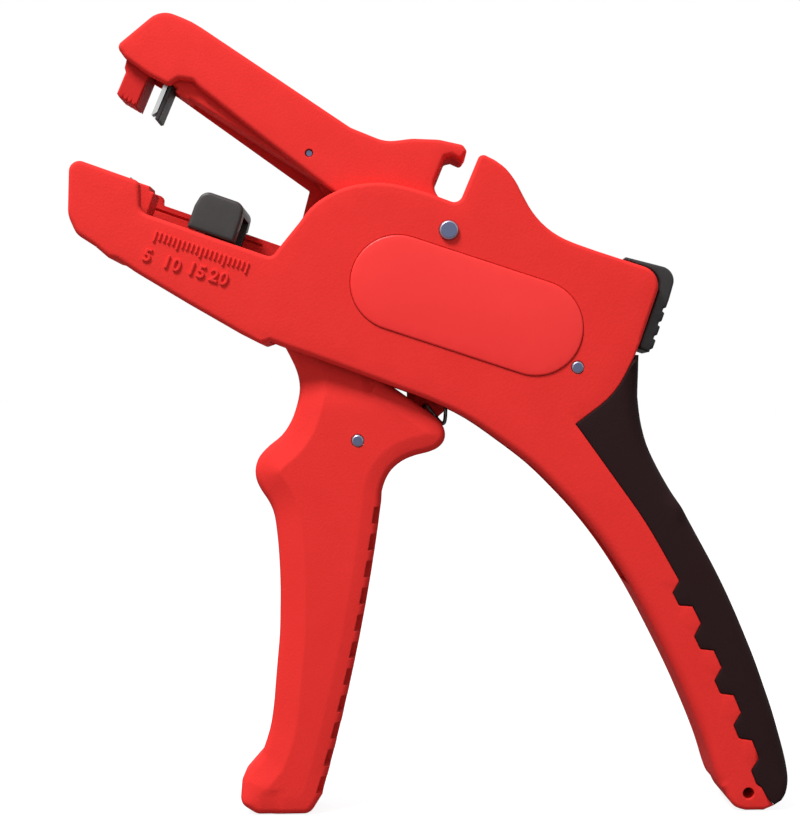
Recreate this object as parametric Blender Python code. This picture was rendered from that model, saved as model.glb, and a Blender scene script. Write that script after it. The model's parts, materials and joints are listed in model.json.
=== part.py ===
"""Automatic wire stripper, upright on its two handle ends, front side towards -Y. Sizes in millimetres."""

import math

import bpy
import bmesh
from mathutils import Vector

unit = 0.001

# Outlines are measured from the jaw side; this x becomes the middle of the tool and the origin
middle = 1.34

# Thickness of the tool, across Y, from the body inwards
bodyHalf = 10.5
bodyWall = 2.4
halfGap = 0.15
clear = 0.3
jawPlay = 0.5
jawWall = 2.2
leverPlay = 0.4
forkHalf = 2.2
springSlotHalf = 4.6
barHalf = 4.2
headHalf = 4.4
gripProud = 0.2
badgeProud = 0.6
badgeThick = 0.9

bodyInside = bodyHalf - bodyWall
jawHalf = bodyInside - jawPlay
jawInside = jawHalf - jawWall
leverHalf = bodyInside - leverPlay
cheekHalf = jawInside - leverPlay
through = bodyHalf + 3

# Edge rounding
bodyRim = 1.4
underRim = 2.8
jawRim = 1.2
leverRim = 1.6
gripRim = 1.2
arcStep = 22.0

# Pivots and pins, (x, z)
pivot = (6.3, 121.0)
pivotDiameter = 4.0
closingRadius = 3.5
closingWire = 0.8
springPin = (-13.3, 77.7)
framePin = (32.5, 92.2)
crossPinDiameter = 2.6
pinBossRadius = 3.4
rollPin = (-22.5, 137.8)
rollPinDiameter = 1.6
pullRadius = 16.5
pinProud = 0.25

# Travels
jawCloseAngle = 11.5
leverSwing = 36.0
bladeTravel = 7.0
adjusterTravel = 3.0

# Lower jaw: s runs back along the ledge, h up from it, from a point on the ledge
ledgePoint = (-44.2, 121.0)
ledgeAngle = -20.0
farLedgeHeight = 4.0
noseTopHeight = 5.7
grooveHeight = 2.4
barTop = -0.7
barBottom = -4.0
bladeStation = -19.5
bladeThick = 0.9
bladeHalf = 4.0
bladeEdge = 1.1
backerThick = 0.8
backerGap = 0.2
bladeTip = 6.6
clampRise = 0.2
railLeft = -17.5
railRight = 14.5
railDeep = 1.9

# Upper jaw: s runs back along the upper slide, h up from it, from the pivot
upperCeiling = 1.0
upperBarTop = 0.7
upperBarBottom = -4.6
upperBladeTip = -10.3
clampBottom = -10.6
noseLean = 8.0
upperBladeOffset = 0.55
hookHalf = 3.8
jawPocketTop = 6.4
jawPocketLong = 10.0

# Stop slide on the lower jaw
stopLeft = -4.0
stopLength = 10.1
stopTop = 8.6
stopRecess = 3.0
stopWall = 1.8

# Return spring
springRadius = 3.1
springWire = 1.0
springTurns = 8
seatPeg = 6.5
seatFace = 3.8
seatCollar = 3.9
seatHalf = 3.9

# Handle teeth and lever notches
toothRow = 50.4
toothPitch = 10.05
toothCount = int(toothRow / toothPitch)
toothRise = 2.4
notchRow = 61.8
notchPitch = 5.6
notchCount = int(notchRow / notchPitch)
notchDepth = 1.3
notchTop = 64.0
notchTall = 3.8
webHalf = 0.9
pocketHalf = 5.2

# Pads on both sides
badgeFront = (-4.4, 110.3)
badgeBack = (23.9, 100.5)
badgeRadius = 9.9

# Adjuster stem, along the back of the body
stemLow = 3.2
stemHigh = 8.8
stemHalf = 2.0
adjusterHalf = 6.0
ridgeCount = 4
ridgePitch = 3.0

# Small things
lanyardHole = (66.4, 3.6)
lanyardDiameter = 2.4


def clearScene():
    for old in list(bpy.data.objects):
        bpy.data.objects.remove(old, do_unlink=True)


def turned(angle):
    return Vector((math.cos(math.radians(angle)), math.sin(math.radians(angle))))


ledgeAlong = turned(ledgeAngle)
ledgeUp = turned(ledgeAngle + 90)
upperAlong = turned(ledgeAngle - jawCloseAngle)
upperUp = turned(ledgeAngle - jawCloseAngle + 90)
ledgePivot = (Vector(pivot) - Vector(ledgePoint)).dot(ledgeAlong)
relativeSwing = leverSwing - jawCloseAngle
pullStart = ledgeAngle - jawCloseAngle - 90 - relativeSwing / 2
pullPin = tuple(Vector(pivot) + pullRadius * turned(pullStart))


def low(s, h):
    return tuple(Vector(ledgePoint) + s * ledgeAlong + h * ledgeUp)


def high(s, h):
    return tuple(Vector(pivot) + s * upperAlong + h * upperUp)


def nose(s, h):
    """The frame of the upper slide with its uprights leaning, for what stands in the nose."""
    return high(s - (h - upperBladeTip) * math.tan(math.radians(noseLean)), h)


def rounded(points):
    """Each point is (x, z) or (x, z, radius); a radius puts an arc in place of the corner."""
    out = []
    count = len(points)
    for i, point in enumerate(points):
        here = Vector(point[:2])
        radius = point[2] if len(point) > 2 else 0
        before = Vector(points[i - 1][:2]) - here
        after = Vector(points[(i + 1) % count][:2]) - here
        a = before.normalized()
        b = after.normalized()
        half = math.acos(max(-1.0, min(1.0, a.dot(b)))) / 2
        turn = math.degrees(math.pi - 2 * half)
        if radius == 0 or turn < 1:
            out.append(tuple(here))
            continue
        reach = min(radius / math.tan(half), 0.49 * before.length, 0.49 * after.length)
        size = reach * math.tan(half)
        centre = here + (a + b).normalized() * (size / math.sin(half))
        start = here + a * reach - centre
        end = here + b * reach - centre
        sweep = start.angle_signed(end)
        steps = max(1, round(turn / arcStep))
        for k in range(steps + 1):
            angle = -sweep * k / steps
            c = math.cos(angle)
            s = math.sin(angle)
            spot = centre + Vector((start.x * c - start.y * s, start.x * s + start.y * c))
            out.append(tuple(spot))
    return out


def circle(centre, radius, steps=20):
    spots = []
    for k in range(steps):
        spots.append(tuple(Vector(centre) + radius * turned(360 * (k + 0.5) / steps)))
    return spots


def area(outline):
    total = 0
    for i, (x, z) in enumerate(outline):
        nx, nz = outline[(i + 1) % len(outline)]
        total += x * nz - nx * z
    return total / 2


def inset(outline, amounts):
    """The outline moved in at each corner by its own amount, and less where the edges are short."""
    count = len(outline)
    headings = []
    lengths = []
    for i in range(count):
        step = Vector(outline[(i + 1) % count]) - Vector(outline[i])
        lengths.append(step.length)
        headings.append(step.normalized())
    turns = [headings[i - 1].angle_signed(headings[i]) * -1 for i in range(count)]
    limits = []
    for i in range(count):
        closing = math.tan(turns[i] / 2) + math.tan(turns[(i + 1) % count] / 2)
        limits.append(0.6 * lengths[i] / closing if closing > 0.01 else 100)
    out = []
    for i, spot in enumerate(outline):
        here = min(amounts[i], limits[i - 1], limits[i])
        a = headings[i - 1]
        b = headings[i]
        na = Vector((-a.y, a.x))
        nb = Vector((-b.y, b.x))
        both = (na + nb).normalized()
        out.append(tuple(Vector(spot) + both * here / max(0.35, both.dot(na))))
    return out


def addMesh(name, verts, faces, origin=(0, 0)):
    mesh = bpy.data.meshes.new(name)
    shifted = [((x - origin[0]) * unit, y * unit, (z - origin[1]) * unit) for x, y, z in verts]
    mesh.from_pydata(shifted, [], faces)
    shape = bmesh.new()
    shape.from_mesh(mesh)
    bmesh.ops.recalc_face_normals(shape, faces=shape.faces)
    shape.to_mesh(mesh)
    shape.free()
    mesh.update()
    item = bpy.data.objects.new(name, mesh)
    item.location = ((origin[0] - middle) * unit, 0, origin[1] * unit)
    bpy.context.scene.collection.objects.link(item)
    return item


def rimSizes(outline, top, under):
    """A rim size for each corner: under where the outline faces down or down and left, top elsewhere."""
    sizes = []
    for i in range(len(outline)):
        step = Vector(outline[(i + 1) % len(outline)]) - Vector(outline[i - 1])
        out = Vector((step.y, -step.x)).normalized()
        share = min(1.0, max(0.0, (-out.y - 0.15) / 0.2)) if out.x < 0.2 else 0
        sizes.append(top + (under - top) * share)
    return sizes


def prism(name, outline, yLow, yHigh, rimLow=0, rimHigh=0, origin=(0, 0), rimUnder=None):
    """An outline in XZ drawn out along Y, with its rim rounded off by rimLow and rimHigh."""
    if area(outline) < 0:
        outline = outline[::-1]
    n = len(outline)
    slope = 1 - math.sqrt(0.5)
    rings = []
    for y, way, rim in ((yLow, 1, rimLow), (yHigh, -1, rimHigh)):
        sizes = rimSizes(outline, rim, rimUnder or rim) if rim else [0] * n
        steps = [(0, 1), (slope, slope), (1, 0)] if rim else [(0, 0)]
        for deep, share in steps[::way]:
            spots = inset(outline, [share * size for size in sizes])
            rings.append([(x, y + way * deep * size, z) for (x, z), size in zip(spots, sizes)])
    verts = [vert for ring in rings for vert in ring]
    faces = [list(range(n))]
    for r in range(len(rings) - 1):
        for i in range(n):
            j = (i + 1) % n
            faces.append([r * n + i, r * n + j, (r + 1) * n + j, (r + 1) * n + i])
    faces.append(list(range((len(rings) - 1) * n, len(rings) * n)))
    return addMesh(name, verts, faces, origin)


def tube(name, path, radius, sides=6):
    """A round wire along a path of points."""
    verts = []
    faces = []
    count = len(path)
    normal = Vector((0.13, 0.71, 0.32))
    for k, spot in enumerate(path):
        along = (path[min(k + 1, count - 1)] - path[max(k - 1, 0)]).normalized()
        normal = (normal - along * normal.dot(along)).normalized()
        across = along.cross(normal)
        for j in range(sides):
            t = 2 * math.pi * j / sides
            verts.append(tuple(spot + radius * (normal * math.cos(t) + across * math.sin(t))))
    for k in range(count - 1):
        for j in range(sides):
            n = (j + 1) % sides
            faces.append([k * sides + j, k * sides + n, (k + 1) * sides + n, (k + 1) * sides + j])
    faces.append(list(range(sides)))
    faces.append(list(range((count - 1) * sides, count * sides)))
    return addMesh(name, verts, faces)


def rodY(name, centre, diameter, yLow, yHigh, steps=20, chamfer=0.3):
    return prism(name, circle(centre, diameter / 2, steps), yLow, yHigh, chamfer, chamfer, centre)


def helper(item):
    item.hide_render = True
    item.display_type = "WIRE"
    return item


def combine(item, other, operation):
    helper(other)
    step = item.modifiers.new(operation.lower() + " " + other.name, "BOOLEAN")
    step.operation = operation
    step.solver = "EXACT"
    step.object = other


def cut(item, other):
    combine(item, other, "DIFFERENCE")


def join(item, other):
    combine(item, other, "UNION")


def material(name, colour, roughness, metallic=0.0):
    made = bpy.data.materials.new(name)
    made.use_nodes = True
    made.diffuse_color = (*colour, 1)
    shader = made.node_tree.nodes["Principled BSDF"]
    shader.inputs["Base Color"].default_value = (*colour, 1)
    shader.inputs["Roughness"].default_value = roughness
    shader.inputs["Metallic"].default_value = metallic
    return made


def finish(item, made, smooth=False):
    item.data.materials.append(made)
    if smooth:
        item.data.shade_smooth()
        item.data.set_sharp_from_angle(angle=math.radians(40))


# Outlines of the body

def toothLine():
    """Five stepped teeth down the back of the handle, where the soft grip keys into the body."""
    spots = []
    here = Vector((51.4, 45.3))
    for i in range(toothCount):
        along = turned(-64.5 - 1.7 * i)
        out = Vector((-along.y, along.x))
        spots.append(tuple(here))
        spots.append(tuple(here + 2.9 * along))
        spots.append(tuple(here + 4.3 * along + toothRise * out))
        spots.append(tuple(here + 8.3 * along + toothRise * out))
        here = here + toothPitch * along
    return spots


def gripEdge():
    """Where body and grip meet, from the top of the grip down to the tip."""
    upper = [(44.5, 94.7), (40.2, 86.6, 18), (31.9, 80.5), (46.2, 59.9, 90), (52.8, 47.7, 0.6)]
    return upper + toothLine()[:-1] + [(70.3, 2.4), (71.8, 0.9)]


def underside():
    """From the tip of the handle along its inner edge and under the body to the nose."""
    inner = [(69.5, 0), (64.0, 0, 3.0), (61.0, 4.3, 0.8), (59.9, 6.2, 1.5), (50.3, 33.4, 150),
             (33.0, 61.8, 70), (12.5, 80.4, 60), (-17.0, 94.4, 30)]
    keel = [(-31.0, 98.4, 0.4), (-31.9, 97.6, 0.4), (-34.0, 98.5, 2.5), (-62.6, 116.8, 0.4)]
    front = [(-64.0, 116.9, 0.5), (-66.9, 118.6, 1.5), (-70.8, 122.0, 5), (-72.6, 128.4, 12)]
    return inner + keel + front


def hubTop():
    """Over the hub: window end, top, notch, horn and back."""
    return [low(15.4, 2.5) + (3,), (-23.5, 124.3, 6), (-16.5, 130.4, 9), (-3.0, 131.7, 25), (4.2, 129.0, 4),
            (8.5, 126.2, 1.8), (13.2, 137.6, 1.5), (18.3, 133.9, 7), (25.3, 120.4, 12), (50.9, 111.3, 3.4),
            (45.7, 97.6, 2)]


def bodyOutline(farSide):
    nose = [(-72.5, 137.3, 2.5)]
    if farSide:
        window = [low(-13.4, noseTopHeight) + (1.0,), low(-12.9, farLedgeHeight) + (0.6,)]
        window += [low(14.3, farLedgeHeight) + (1.5,)]
    else:
        window = [low(-16.4, noseTopHeight) + (1.6,), low(-14.2, 0) + (2.2,), low(14.6, 0) + (1.5,)]
    return rounded(nose + window + hubTop() + gripEdge() + underside())


def bodyCavity():
    """Inside of the body, open over the jaw window, the hub and the lever mouth."""
    return rounded([(-69.4, 142), (-69.4, 125.2), (-65.6, 121.6, 2), (-36.0, 102.6, 2), (-31.5, 101.2),
                    (-31.5, 94), (-5, 84), (12, 75), (30, 58), (40.5, 47.5), (44.5, 46.5), (49.0, 44.2, 1),
                    (47.0, 53.4), (29.3, 79.8, 2), (38.0, 87.5, 3), (42.4, 97.0, 2), (46.9, 108.6, 2),
                    (23.5, 117.6, 12), (17.0, 131.0, 3), (13.9, 132.5), (11.2, 126.8, 2), (10.5, 134),
                    (-28, 142)])


def handlePocket():
    """Pocket in the lower handle, between the lever mouth and the tip."""
    return rounded([(49.6, 41.0, 1), (53.8, 37.2, 1), (62.6, 15.0, 1), (60.4, 13.4, 1), (52.6, 33.6, 20)])


def bodyShell(name, side, red):
    farSide = side > 0
    outline = bodyOutline(farSide)
    outer = side * bodyHalf
    inner = side * halfGap
    shell = prism(name, outline, min(outer, inner), max(outer, inner),
                  0 if farSide else bodyRim, bodyRim if farSide else 0, rimUnder=underRim)
    floor = side * bodyInside
    past = -side * 2
    for part, shape in (("cavity", bodyCavity()), ("pocket", handlePocket())):
        cut(shell, prism(name + "_" + part, shape, min(floor, past), max(floor, past)))
    # Boss round the frame pin, and the rail that carries the lower carriage
    wallIn = side * (bodyInside + 0.5)
    bossIn = side * 4.6
    boss = circle(framePin, pinBossRadius)
    join(shell, prism(name + "_pin_boss", boss, min(wallIn, bossIn), max(wallIn, bossIn)))
    railTop = barBottom - clear
    rail = [low(railLeft, railTop), low(railRight, railTop), low(railRight, railTop - railDeep),
            low(railLeft, railTop - railDeep)]
    railIn = side * (barHalf - 1.4)
    join(shell, prism(name + "_rail", rail, min(railIn, wallIn), max(railIn, wallIn)))
    # Bores
    bores = ((pivot, pivotDiameter), (framePin, crossPinDiameter),
             (lanyardHole, lanyardDiameter - 2 * clear))
    for where, size in bores:
        bore = circle(where, size / 2 + clear, 16)
        cut(shell, prism(name + "_bore_%d" % round(where[0]), bore, -through, through))
    # Shallow seat for the pad
    face = side * (bodyHalf + badgeProud - badgeThick - clear)
    past = side * (bodyHalf + 1)
    seat = prism(name + "_pad_seat", badgeOutline(clear), min(face, past), max(face, past))
    cut(shell, seat)
    # Guide groove inside the rear wall, beside the lower carriage
    if farSide:
        groove = [low(-14.4, grooveHeight), low(10.2, grooveHeight), low(10.2, grooveHeight + 0.5),
                  low(-14.4, grooveHeight + 0.5)]
        cut(shell, prism(name + "_groove", groove, bodyInside - 1, bodyInside + 0.6))
    # Slot in the back for the stem of the adjuster
    slot = prism(name + "_slot", adjusterSlot(), -stemHalf - clear, stemHalf + clear)
    cut(shell, slot)
    finish(shell, red)
    return shell


def badgeOutline(extra=0.0):
    """Two half circles joined, the raised pad on each side."""
    along = Vector(badgeBack) - Vector(badgeFront)
    heading = math.degrees(math.atan2(along.y, along.x))
    radius = badgeRadius + extra
    spots = []
    steps = 10
    for k in range(steps + 1):
        spots.append(tuple(Vector(badgeBack) + radius * turned(heading - 90 + 180 * k / steps)))
    for k in range(steps + 1):
        spots.append(tuple(Vector(badgeFront) + radius * turned(heading + 90 + 180 * k / steps)))
    return spots


def makeBadge(name, side, red):
    top = side * (bodyHalf + badgeProud)
    under = side * (bodyHalf + badgeProud - badgeThick)
    pad = prism(name, badgeOutline(), min(top, under), max(top, under), 0.35 * (side < 0), 0.35 * (side > 0))
    bore = prism(name + "_bore", circle(pivot, pivotDiameter / 2 + clear, 16), -through, through)
    cut(pad, bore)
    finish(pad, red)


def makeGrip(black):
    edge = rounded(gripEdge() + [(73.6, 2.0, 1.5), (75.5, 6.0, 3), (72.8, 16.5, 90), (62.9, 44.9, 100),
                                 (49.2, 69.4, 40), (44.9, 83.5, 30), (45.4, 94.7)])
    edge = edge[::-1] if area(edge) < 0 else edge
    moved = inset(edge, [clear] * len(edge))
    half = bodyHalf + gripProud
    finish(prism("handle_grip", moved, -half, half, gripRim, gripRim), black)


# Adjuster at the back

backLow = Vector((45.7, 97.6))
backHigh = Vector((50.9, 111.3))
backAlong = (backHigh - backLow).normalized()
backOut = Vector((backAlong.y, -backAlong.x))


def back(s, d):
    return tuple(backLow + s * backAlong + d * backOut)


def adjusterSlot():
    low = stemLow - 2 * clear
    high = stemHigh + adjusterTravel + 1.3 * clear
    return [back(low, 1.5), back(high, 1.5), back(high, -4.5), back(low, -4.5)]


def makeAdjuster(black):
    """Ridged thumb slide over the back corner of the body, with a stem into the slot."""
    off = clear + 0.05
    top = (Vector((25.3, 120.4)) - backHigh).normalized()
    over = Vector((-top.y, top.x))
    over = over if over.y > 0 else -over
    start = backHigh + 8.6 * top
    corner = tuple(backHigh + 2.1 * over + 2.7 * backOut)
    outline = [tuple(start + off * over), tuple(start + 1.2 * over), corner + (3.6,)]
    for i in range(ridgeCount):
        s = 10.4 - ridgePitch * i
        rise = 3.1 + 0.1 * i
        foot = rise - 0.45
        outline += [back(s, rise), back(s - 1.8, rise), back(s - 2.2, foot), back(s - 2.8, foot)]
    outline += [back(-1.4, 1.4), back(-1.4, off)]
    outline += [tuple(backHigh + off * over + off * backOut) + (3.4 + off,)]
    body = prism("depth_slider", rounded(outline), -adjusterHalf, adjusterHalf, 0.5, 0.5)
    stem = [back(stemLow, 1.0), back(stemHigh, 1.0), back(stemHigh, -3.6), back(stemLow, -3.6)]
    join(body, prism("depth_slider_stem", stem, -stemHalf, stemHalf))
    finish(body, black)


# Upper jaw

def jawOutline():
    """Side view of the upper jaw down to the edge of its far wall."""
    top = [(-62.4, 160.7, 1.6), (-53.0, 168.7, 5), (-46.5, 165.4, 20), (-11.0, 141.0, 10),
           (7.0, 139.7, 1.2), (5.7, 135.2, 3), (2.9, 130.0, 4), (5.6, 126.9)]
    boss = [tuple(Vector(pivot) + 5.8 * turned(a)) for a in (60, 30, 0, -30, -60, -90)]
    ear = [(-10.0, 116.6, 6), (-25.6, 122.4, 1.5), (-23.1, 131.4, 0.5)]
    under = [(-51.4, 152.3, 1.0), (-53.0, 153.2, 1), (-55.9, 154.8, 6), (-60.7, 158.4, 2.5)]
    return rounded(top + boss + ear + under)


def jawNearWindow():
    """What the near wall leaves open below its own, higher edge."""
    edge = [(-9.0, 112.0), (-6.2, 120.6), (-33.0, 141.8, 20)]
    arch = [(-45.2, 151.8, 1.0), (-46.5, 153.3, 1.4), (-49.5, 153.8, 1.4), (-51.9, 152.0)]
    return rounded(edge + arch + [(-54.0, 148.0), (-32.0, 116.0)])


def jawChannel():
    """Space for the upper carriage, the clamp block and the lever's boss."""
    return [high(-71.2, 3.4), high(-60.5, 3.4), high(-60.5, upperCeiling), high(-10.5, upperCeiling),
            (14.0, 127.3), (14.0, 110.0), high(-8, -25), high(-77, -25), high(-77.6, 0.0),
            high(-71.2, 0.4)]


def jawPocket(start):
    end = start + jawPocketLong
    return [high(start, upperCeiling - 1), high(start, jawPocketTop), high(end, jawPocketTop),
            high(end, upperCeiling - 1)]


def makeUpperJaw(red):
    half = jawInside
    jaw = prism("upper_jaw", jawOutline(), -jawHalf, jawHalf, jawRim, jawRim, pivot)
    hook = rounded([(2.0, 139.4), (9.2, 139.3, 1), (10.3, 137.6, 1), (9.1, 134.0, 0.6),
                    (7.2, 134.4, 0.4), (5.0, 133.2), (1.0, 133.0)])
    join(jaw, prism("upper_jaw_hook", hook, -hookHalf, hookHalf, 0.6, 0.6))
    cut(jaw, prism("upper_jaw_near_window", jawNearWindow(), -jawHalf - 1, -half + 0.5))
    cut(jaw, prism("upper_jaw_channel", jawChannel(), -half, half))
    for start in (-56.0, -44.0, -32.0):
        cut(jaw, prism("upper_jaw_pocket_%d" % -start, jawPocket(start), -half, half))
    cut(jaw, prism("upper_jaw_bore", circle(pivot, pivotDiameter / 2 + clear, 16), -through, through))
    bore = circle(rollPin, rollPinDiameter / 2 + clear, 12)
    cut(jaw, prism("upper_jaw_pin_bore", bore, -through, through))
    finish(jaw, red)


def makeClampBlock(red):
    """Gripping block in the nose of the upper jaw, with fine steps across its foot."""
    half = jawInside - clear
    steps = []
    for i in range(4):
        s = -74.0 + 1.0 * i
        steps += [nose(s, clampBottom), nose(s + 0.7, clampBottom), nose(s + 0.85, clampBottom + 0.35)]
    right = [nose(-69.8, clampBottom), nose(-69.8, -3.4), nose(-70.5, -1.9), high(-71.5, 0.1)]
    left = [high(-77.2, -0.4), high(-76.6, -3.0), high(-76.1, -4.7), nose(-74.7, -5.4)]
    outline = right + left + [nose(-74.7, clampBottom + 0.4)]
    block = prism("upper_clamp_block", outline + steps, -half, half, 0.4, 0.4)
    finish(block, red)


def makeUpperCarriage(red):
    half = jawInside - clear
    wide = [high(-67.9, upperBarTop), high(-27.0, upperBarTop), high(-24.0, upperBarBottom + 1),
            high(-26.0, upperBarBottom), high(-60.8, upperBarBottom + 1.4)]
    wide += [high(-61.2, upperBarBottom + 0.9), high(-64.3, upperBarBottom + 1)]
    wide += [high(-64.3, upperBarBottom + 2), high(-67.9, upperBarBottom + 2)]
    carriage = prism("upper_carriage", wide, -half, half, 0.4, 0.4)
    pinS = -pullRadius * math.sin(math.radians(relativeSwing / 2))
    pinH = -pullRadius * math.cos(math.radians(relativeSwing / 2))
    arm = rounded([high(-30.0, -0.4), high(-19.0, -2.4) + (2,), high(pinS + 2.4, pinH + 3.4) + (2,),
                   high(pinS + 3.6, pinH - 2.6) + (2,), high(pinS - 2.6, pinH - 3.6) + (2,),
                   high(-24.0, -7.0) + (3,), high(-30.0, -4.4)])
    join(carriage, prism("upper_carriage_arm", arm, halfGap, 1.9))
    play = pullRadius - pullRadius * math.cos(math.radians(relativeSwing / 2))
    size = crossPinDiameter / 2 + clear + 0.05
    foot = pinH - size - play
    slot = rounded([high(pinS - size, pinH + size) + (1.2,), high(pinS + size, pinH + size) + (1.2,),
                    high(pinS + size, foot) + (1.2,), high(pinS - size, foot) + (1.2,)])
    cut(carriage, prism("upper_carriage_slot", slot, -1, 3))
    # Groove along the top for the roll pin, as long as the travel
    roll = Vector(rollPin) - Vector(pivot)
    rollS = roll.dot(upperAlong)
    rollH = roll.dot(upperUp)
    room = rollPinDiameter / 2 + clear + 0.05
    end = rollS - bladeTravel - room
    groove = [high(end, rollH - room), high(rollS + room, rollH - room), high(rollS + room, 3), high(end, 3)]
    cut(carriage, prism("upper_carriage_groove", groove, -half - 1, half + 1))
    finish(carriage, red)


def makeUpperBlade(steel, black):
    s = bladeStation - ledgePivot + upperBladeOffset
    root = upperBarBottom + 2 - clear
    tip = upperBladeTip
    blade = [nose(s, root + 0.15), nose(s + bladeThick, root), nose(s + bladeThick, tip + bladeEdge),
             nose(s + 0.15, tip), nose(s, tip)]
    plate = prism("upper_blade", blade, -bladeHalf, bladeHalf)
    notch = [nose(s - 1, tip - 1), nose(s + 2, tip - 1), nose(s + 2, tip + 0.5), nose(s - 1, tip + 0.5)]
    cut(plate, prism("upper_blade_notch", notch, -1.0, 1.0))
    finish(plate, steel)
    b = s + bladeThick + backerGap
    backer = [nose(b, root), nose(b + backerThick, root), nose(b + backerThick, tip - 0.1),
              nose(b + 0.3, tip - 0.5), nose(b, tip - 0.1)]
    finish(prism("upper_blade_backer", backer, -bladeHalf, bladeHalf, 0.15, 0.15), black)


# Lower jaw

def makeLowerClamp(red):
    """Fixed gripping insert in the nose of the lower jaw."""
    half = bodyInside - clear
    top = noseTopHeight + clampRise
    teeth = []
    for i in range(6):
        s = -28.0 + 1.1 * i
        teeth += [low(s, top), low(s + 0.8, top), low(s + 0.95, top - 0.35)]
    outline = teeth + [low(-21.0, top), low(-21.0, -4.0), low(-24.3, -4.0)]
    finish(prism("lower_clamp_insert", outline, -half, half, 0.4, 0.4), red)


def makeLowerCarriage(red):
    block = [low(-18.0, 6.1), low(-15.0, 6.1), low(-14.6, 5.2), low(-13.6, 5.0), low(-13.6, barTop)]
    bar = [low(14.0, barTop), low(14.0, barBottom), low(-20.4, barBottom), low(-20.4, -1.6)]
    wide = block + bar + [low(-18.0, -1.6)]
    carriage = prism("lower_carriage", wide, -barHalf, barHalf, 0.3, 0.3)
    pin = Vector(pullPin) - Vector(ledgePoint)
    pinS = pin.dot(ledgeAlong)
    pinH = pin.dot(ledgeUp)
    reach = pullRadius * (math.sin(math.radians(relativeSwing / 2))
                          + math.sin(math.radians(leverSwing - relativeSwing / 2)))
    lost = reach - bladeTravel
    drop = pullRadius * (1 - math.cos(math.radians(leverSwing - relativeSwing / 2)))
    size = crossPinDiameter / 2 + clear + 0.05
    slotTop = pinH + size
    slotFoot = pinH - drop - size
    slotEnd = pinS + lost + size
    tail = rounded([low(10.0, barTop - 0.2), low(pinS - 6, barTop - 0.2) + (2,),
                    low(pinS - size - 2, slotTop + 2.2) + (2,), low(slotEnd + 2.2, slotTop + 2.2) + (2,),
                    low(slotEnd + 2.2, slotFoot - 2.2) + (2,), low(pinS - size - 2, slotFoot - 2.2) + (2,),
                    low(pinS - 8, barBottom + 0.2) + (4,), low(10.0, barBottom + 0.2)])
    join(carriage, prism("lower_carriage_tail", tail, -1.9, -halfGap))
    slot = rounded([low(pinS - size, slotTop) + (1.2,), low(slotEnd, slotTop) + (1.2,),
                    low(slotEnd, slotFoot) + (1.2,), low(pinS - size, slotFoot) + (1.2,)])
    cut(carriage, prism("lower_carriage_slot", slot, -3, 1))
    finish(carriage, red)


def makeLowerBlade(steel):
    s = bladeStation
    blade = [low(s, -1.3), low(s + bladeThick, -1.3), low(s + bladeThick, bladeTip - bladeEdge),
             low(s + 0.15, bladeTip), low(s, bladeTip)]
    plate = prism("lower_blade", blade, -bladeHalf, bladeHalf)
    notch = [low(s - 1, bladeTip + 1), low(s + 2, bladeTip + 1), low(s + 2, bladeTip - 0.5),
             low(s - 1, bladeTip - 0.5)]
    cut(plate, prism("lower_blade_notch", notch, -1.0, 1.0))
    finish(plate, steel)


def makeStop(grey):
    """Saddle across the lower jaw: the wire end rests on the wall between its cheeks."""
    right = stopLeft + stopLength
    body = rounded([low(stopLeft, clear), low(stopLeft, 5.0) + (1.0,), low(stopLeft + 0.8, stopTop) + (2.6,),
                    low(right - 0.3, stopTop) + (3.0,), low(right, 5.0) + (1.0,), low(right, clear)])
    stop = prism("length_stop", body, -bodyHalf, bodyHalf, 0.6, 0.6)
    wall = stopLeft + stopRecess
    recess = [low(stopLeft - 1, -1), low(wall, -1), low(wall, 12), low(stopLeft - 1, 12)]
    cut(stop, prism("length_stop_recess", recess, -headHalf - 0.8, headHalf + 0.8))
    hollow = [low(wall + stopWall, -1), low(right + 1, -1), low(right + 1, stopTop - 2.4),
              low(wall + stopWall, stopTop - 2.4)]
    cut(stop, prism("length_stop_hollow", hollow, -bodyInside + 1.8, bodyInside - 1.8))
    over = [low(stopLeft - 1, -1), low(right + 1, -1), low(right + 1, farLedgeHeight + clear),
            low(stopLeft - 1, farLedgeHeight + clear)]
    cut(stop, prism("length_stop_step", over, bodyInside - clear, bodyHalf + 1))
    finish(stop, grey)


# Lever

def leverEdge(z):
    """Inner edge of the lever: a gentle curve through three measured points."""
    return -22.3 + 0.2555 * (z - 3.7) - 0.0013 * (z - 3.7) * (z - 35.8)


def leverOutline():
    foot = [(-24.5, 0, 2.5), (-34.6, 0, 3), (-38.6, 3.0, 3), (-38.3, 8.7, 4), (-33.0, 15.6, 5)]
    left = [(-31.0, 26.0, 60), (-29.5, 46.0, 80), (-30.6, 62.6, 10), (-35.2, 69.4, 4.5), (-35.2, 75.0, 4),
            (-27.3, 80.8, 5), (-24.6, 87.8, 9), (-29.4, 99.6), (-25.0, 101.0)]
    right = [(-2.4, 96.4), (-2.6, 87.1), (5.7, 80.4, 2.6), (3.2, 75.6, 3), (-8.0, 72.9, 4), (-8.9, 66.6, 8)]
    edge = [(leverEdge(z), z) for z in (64.4, 50.0, 36.0, 20.0, 4.0)]
    return rounded(foot + left + right + edge)


def leverComb():
    """Row of notches down the inner edge, cut into each wall of the lever."""
    teeth = []
    for i in range(notchCount):
        z = notchTop - notchPitch * i
        foot = z - notchTall
        teeth += [(leverEdge(z) + 1, z), (leverEdge(z) - notchDepth, z - 0.2),
                  (leverEdge(foot) - notchDepth, foot + 0.2), (leverEdge(foot) + 1, foot)]
    last = notchTop - notchPitch * notchCount
    return teeth + [(leverEdge(last) + 4, last), (leverEdge(notchTop) + 4, notchTop)]


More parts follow.
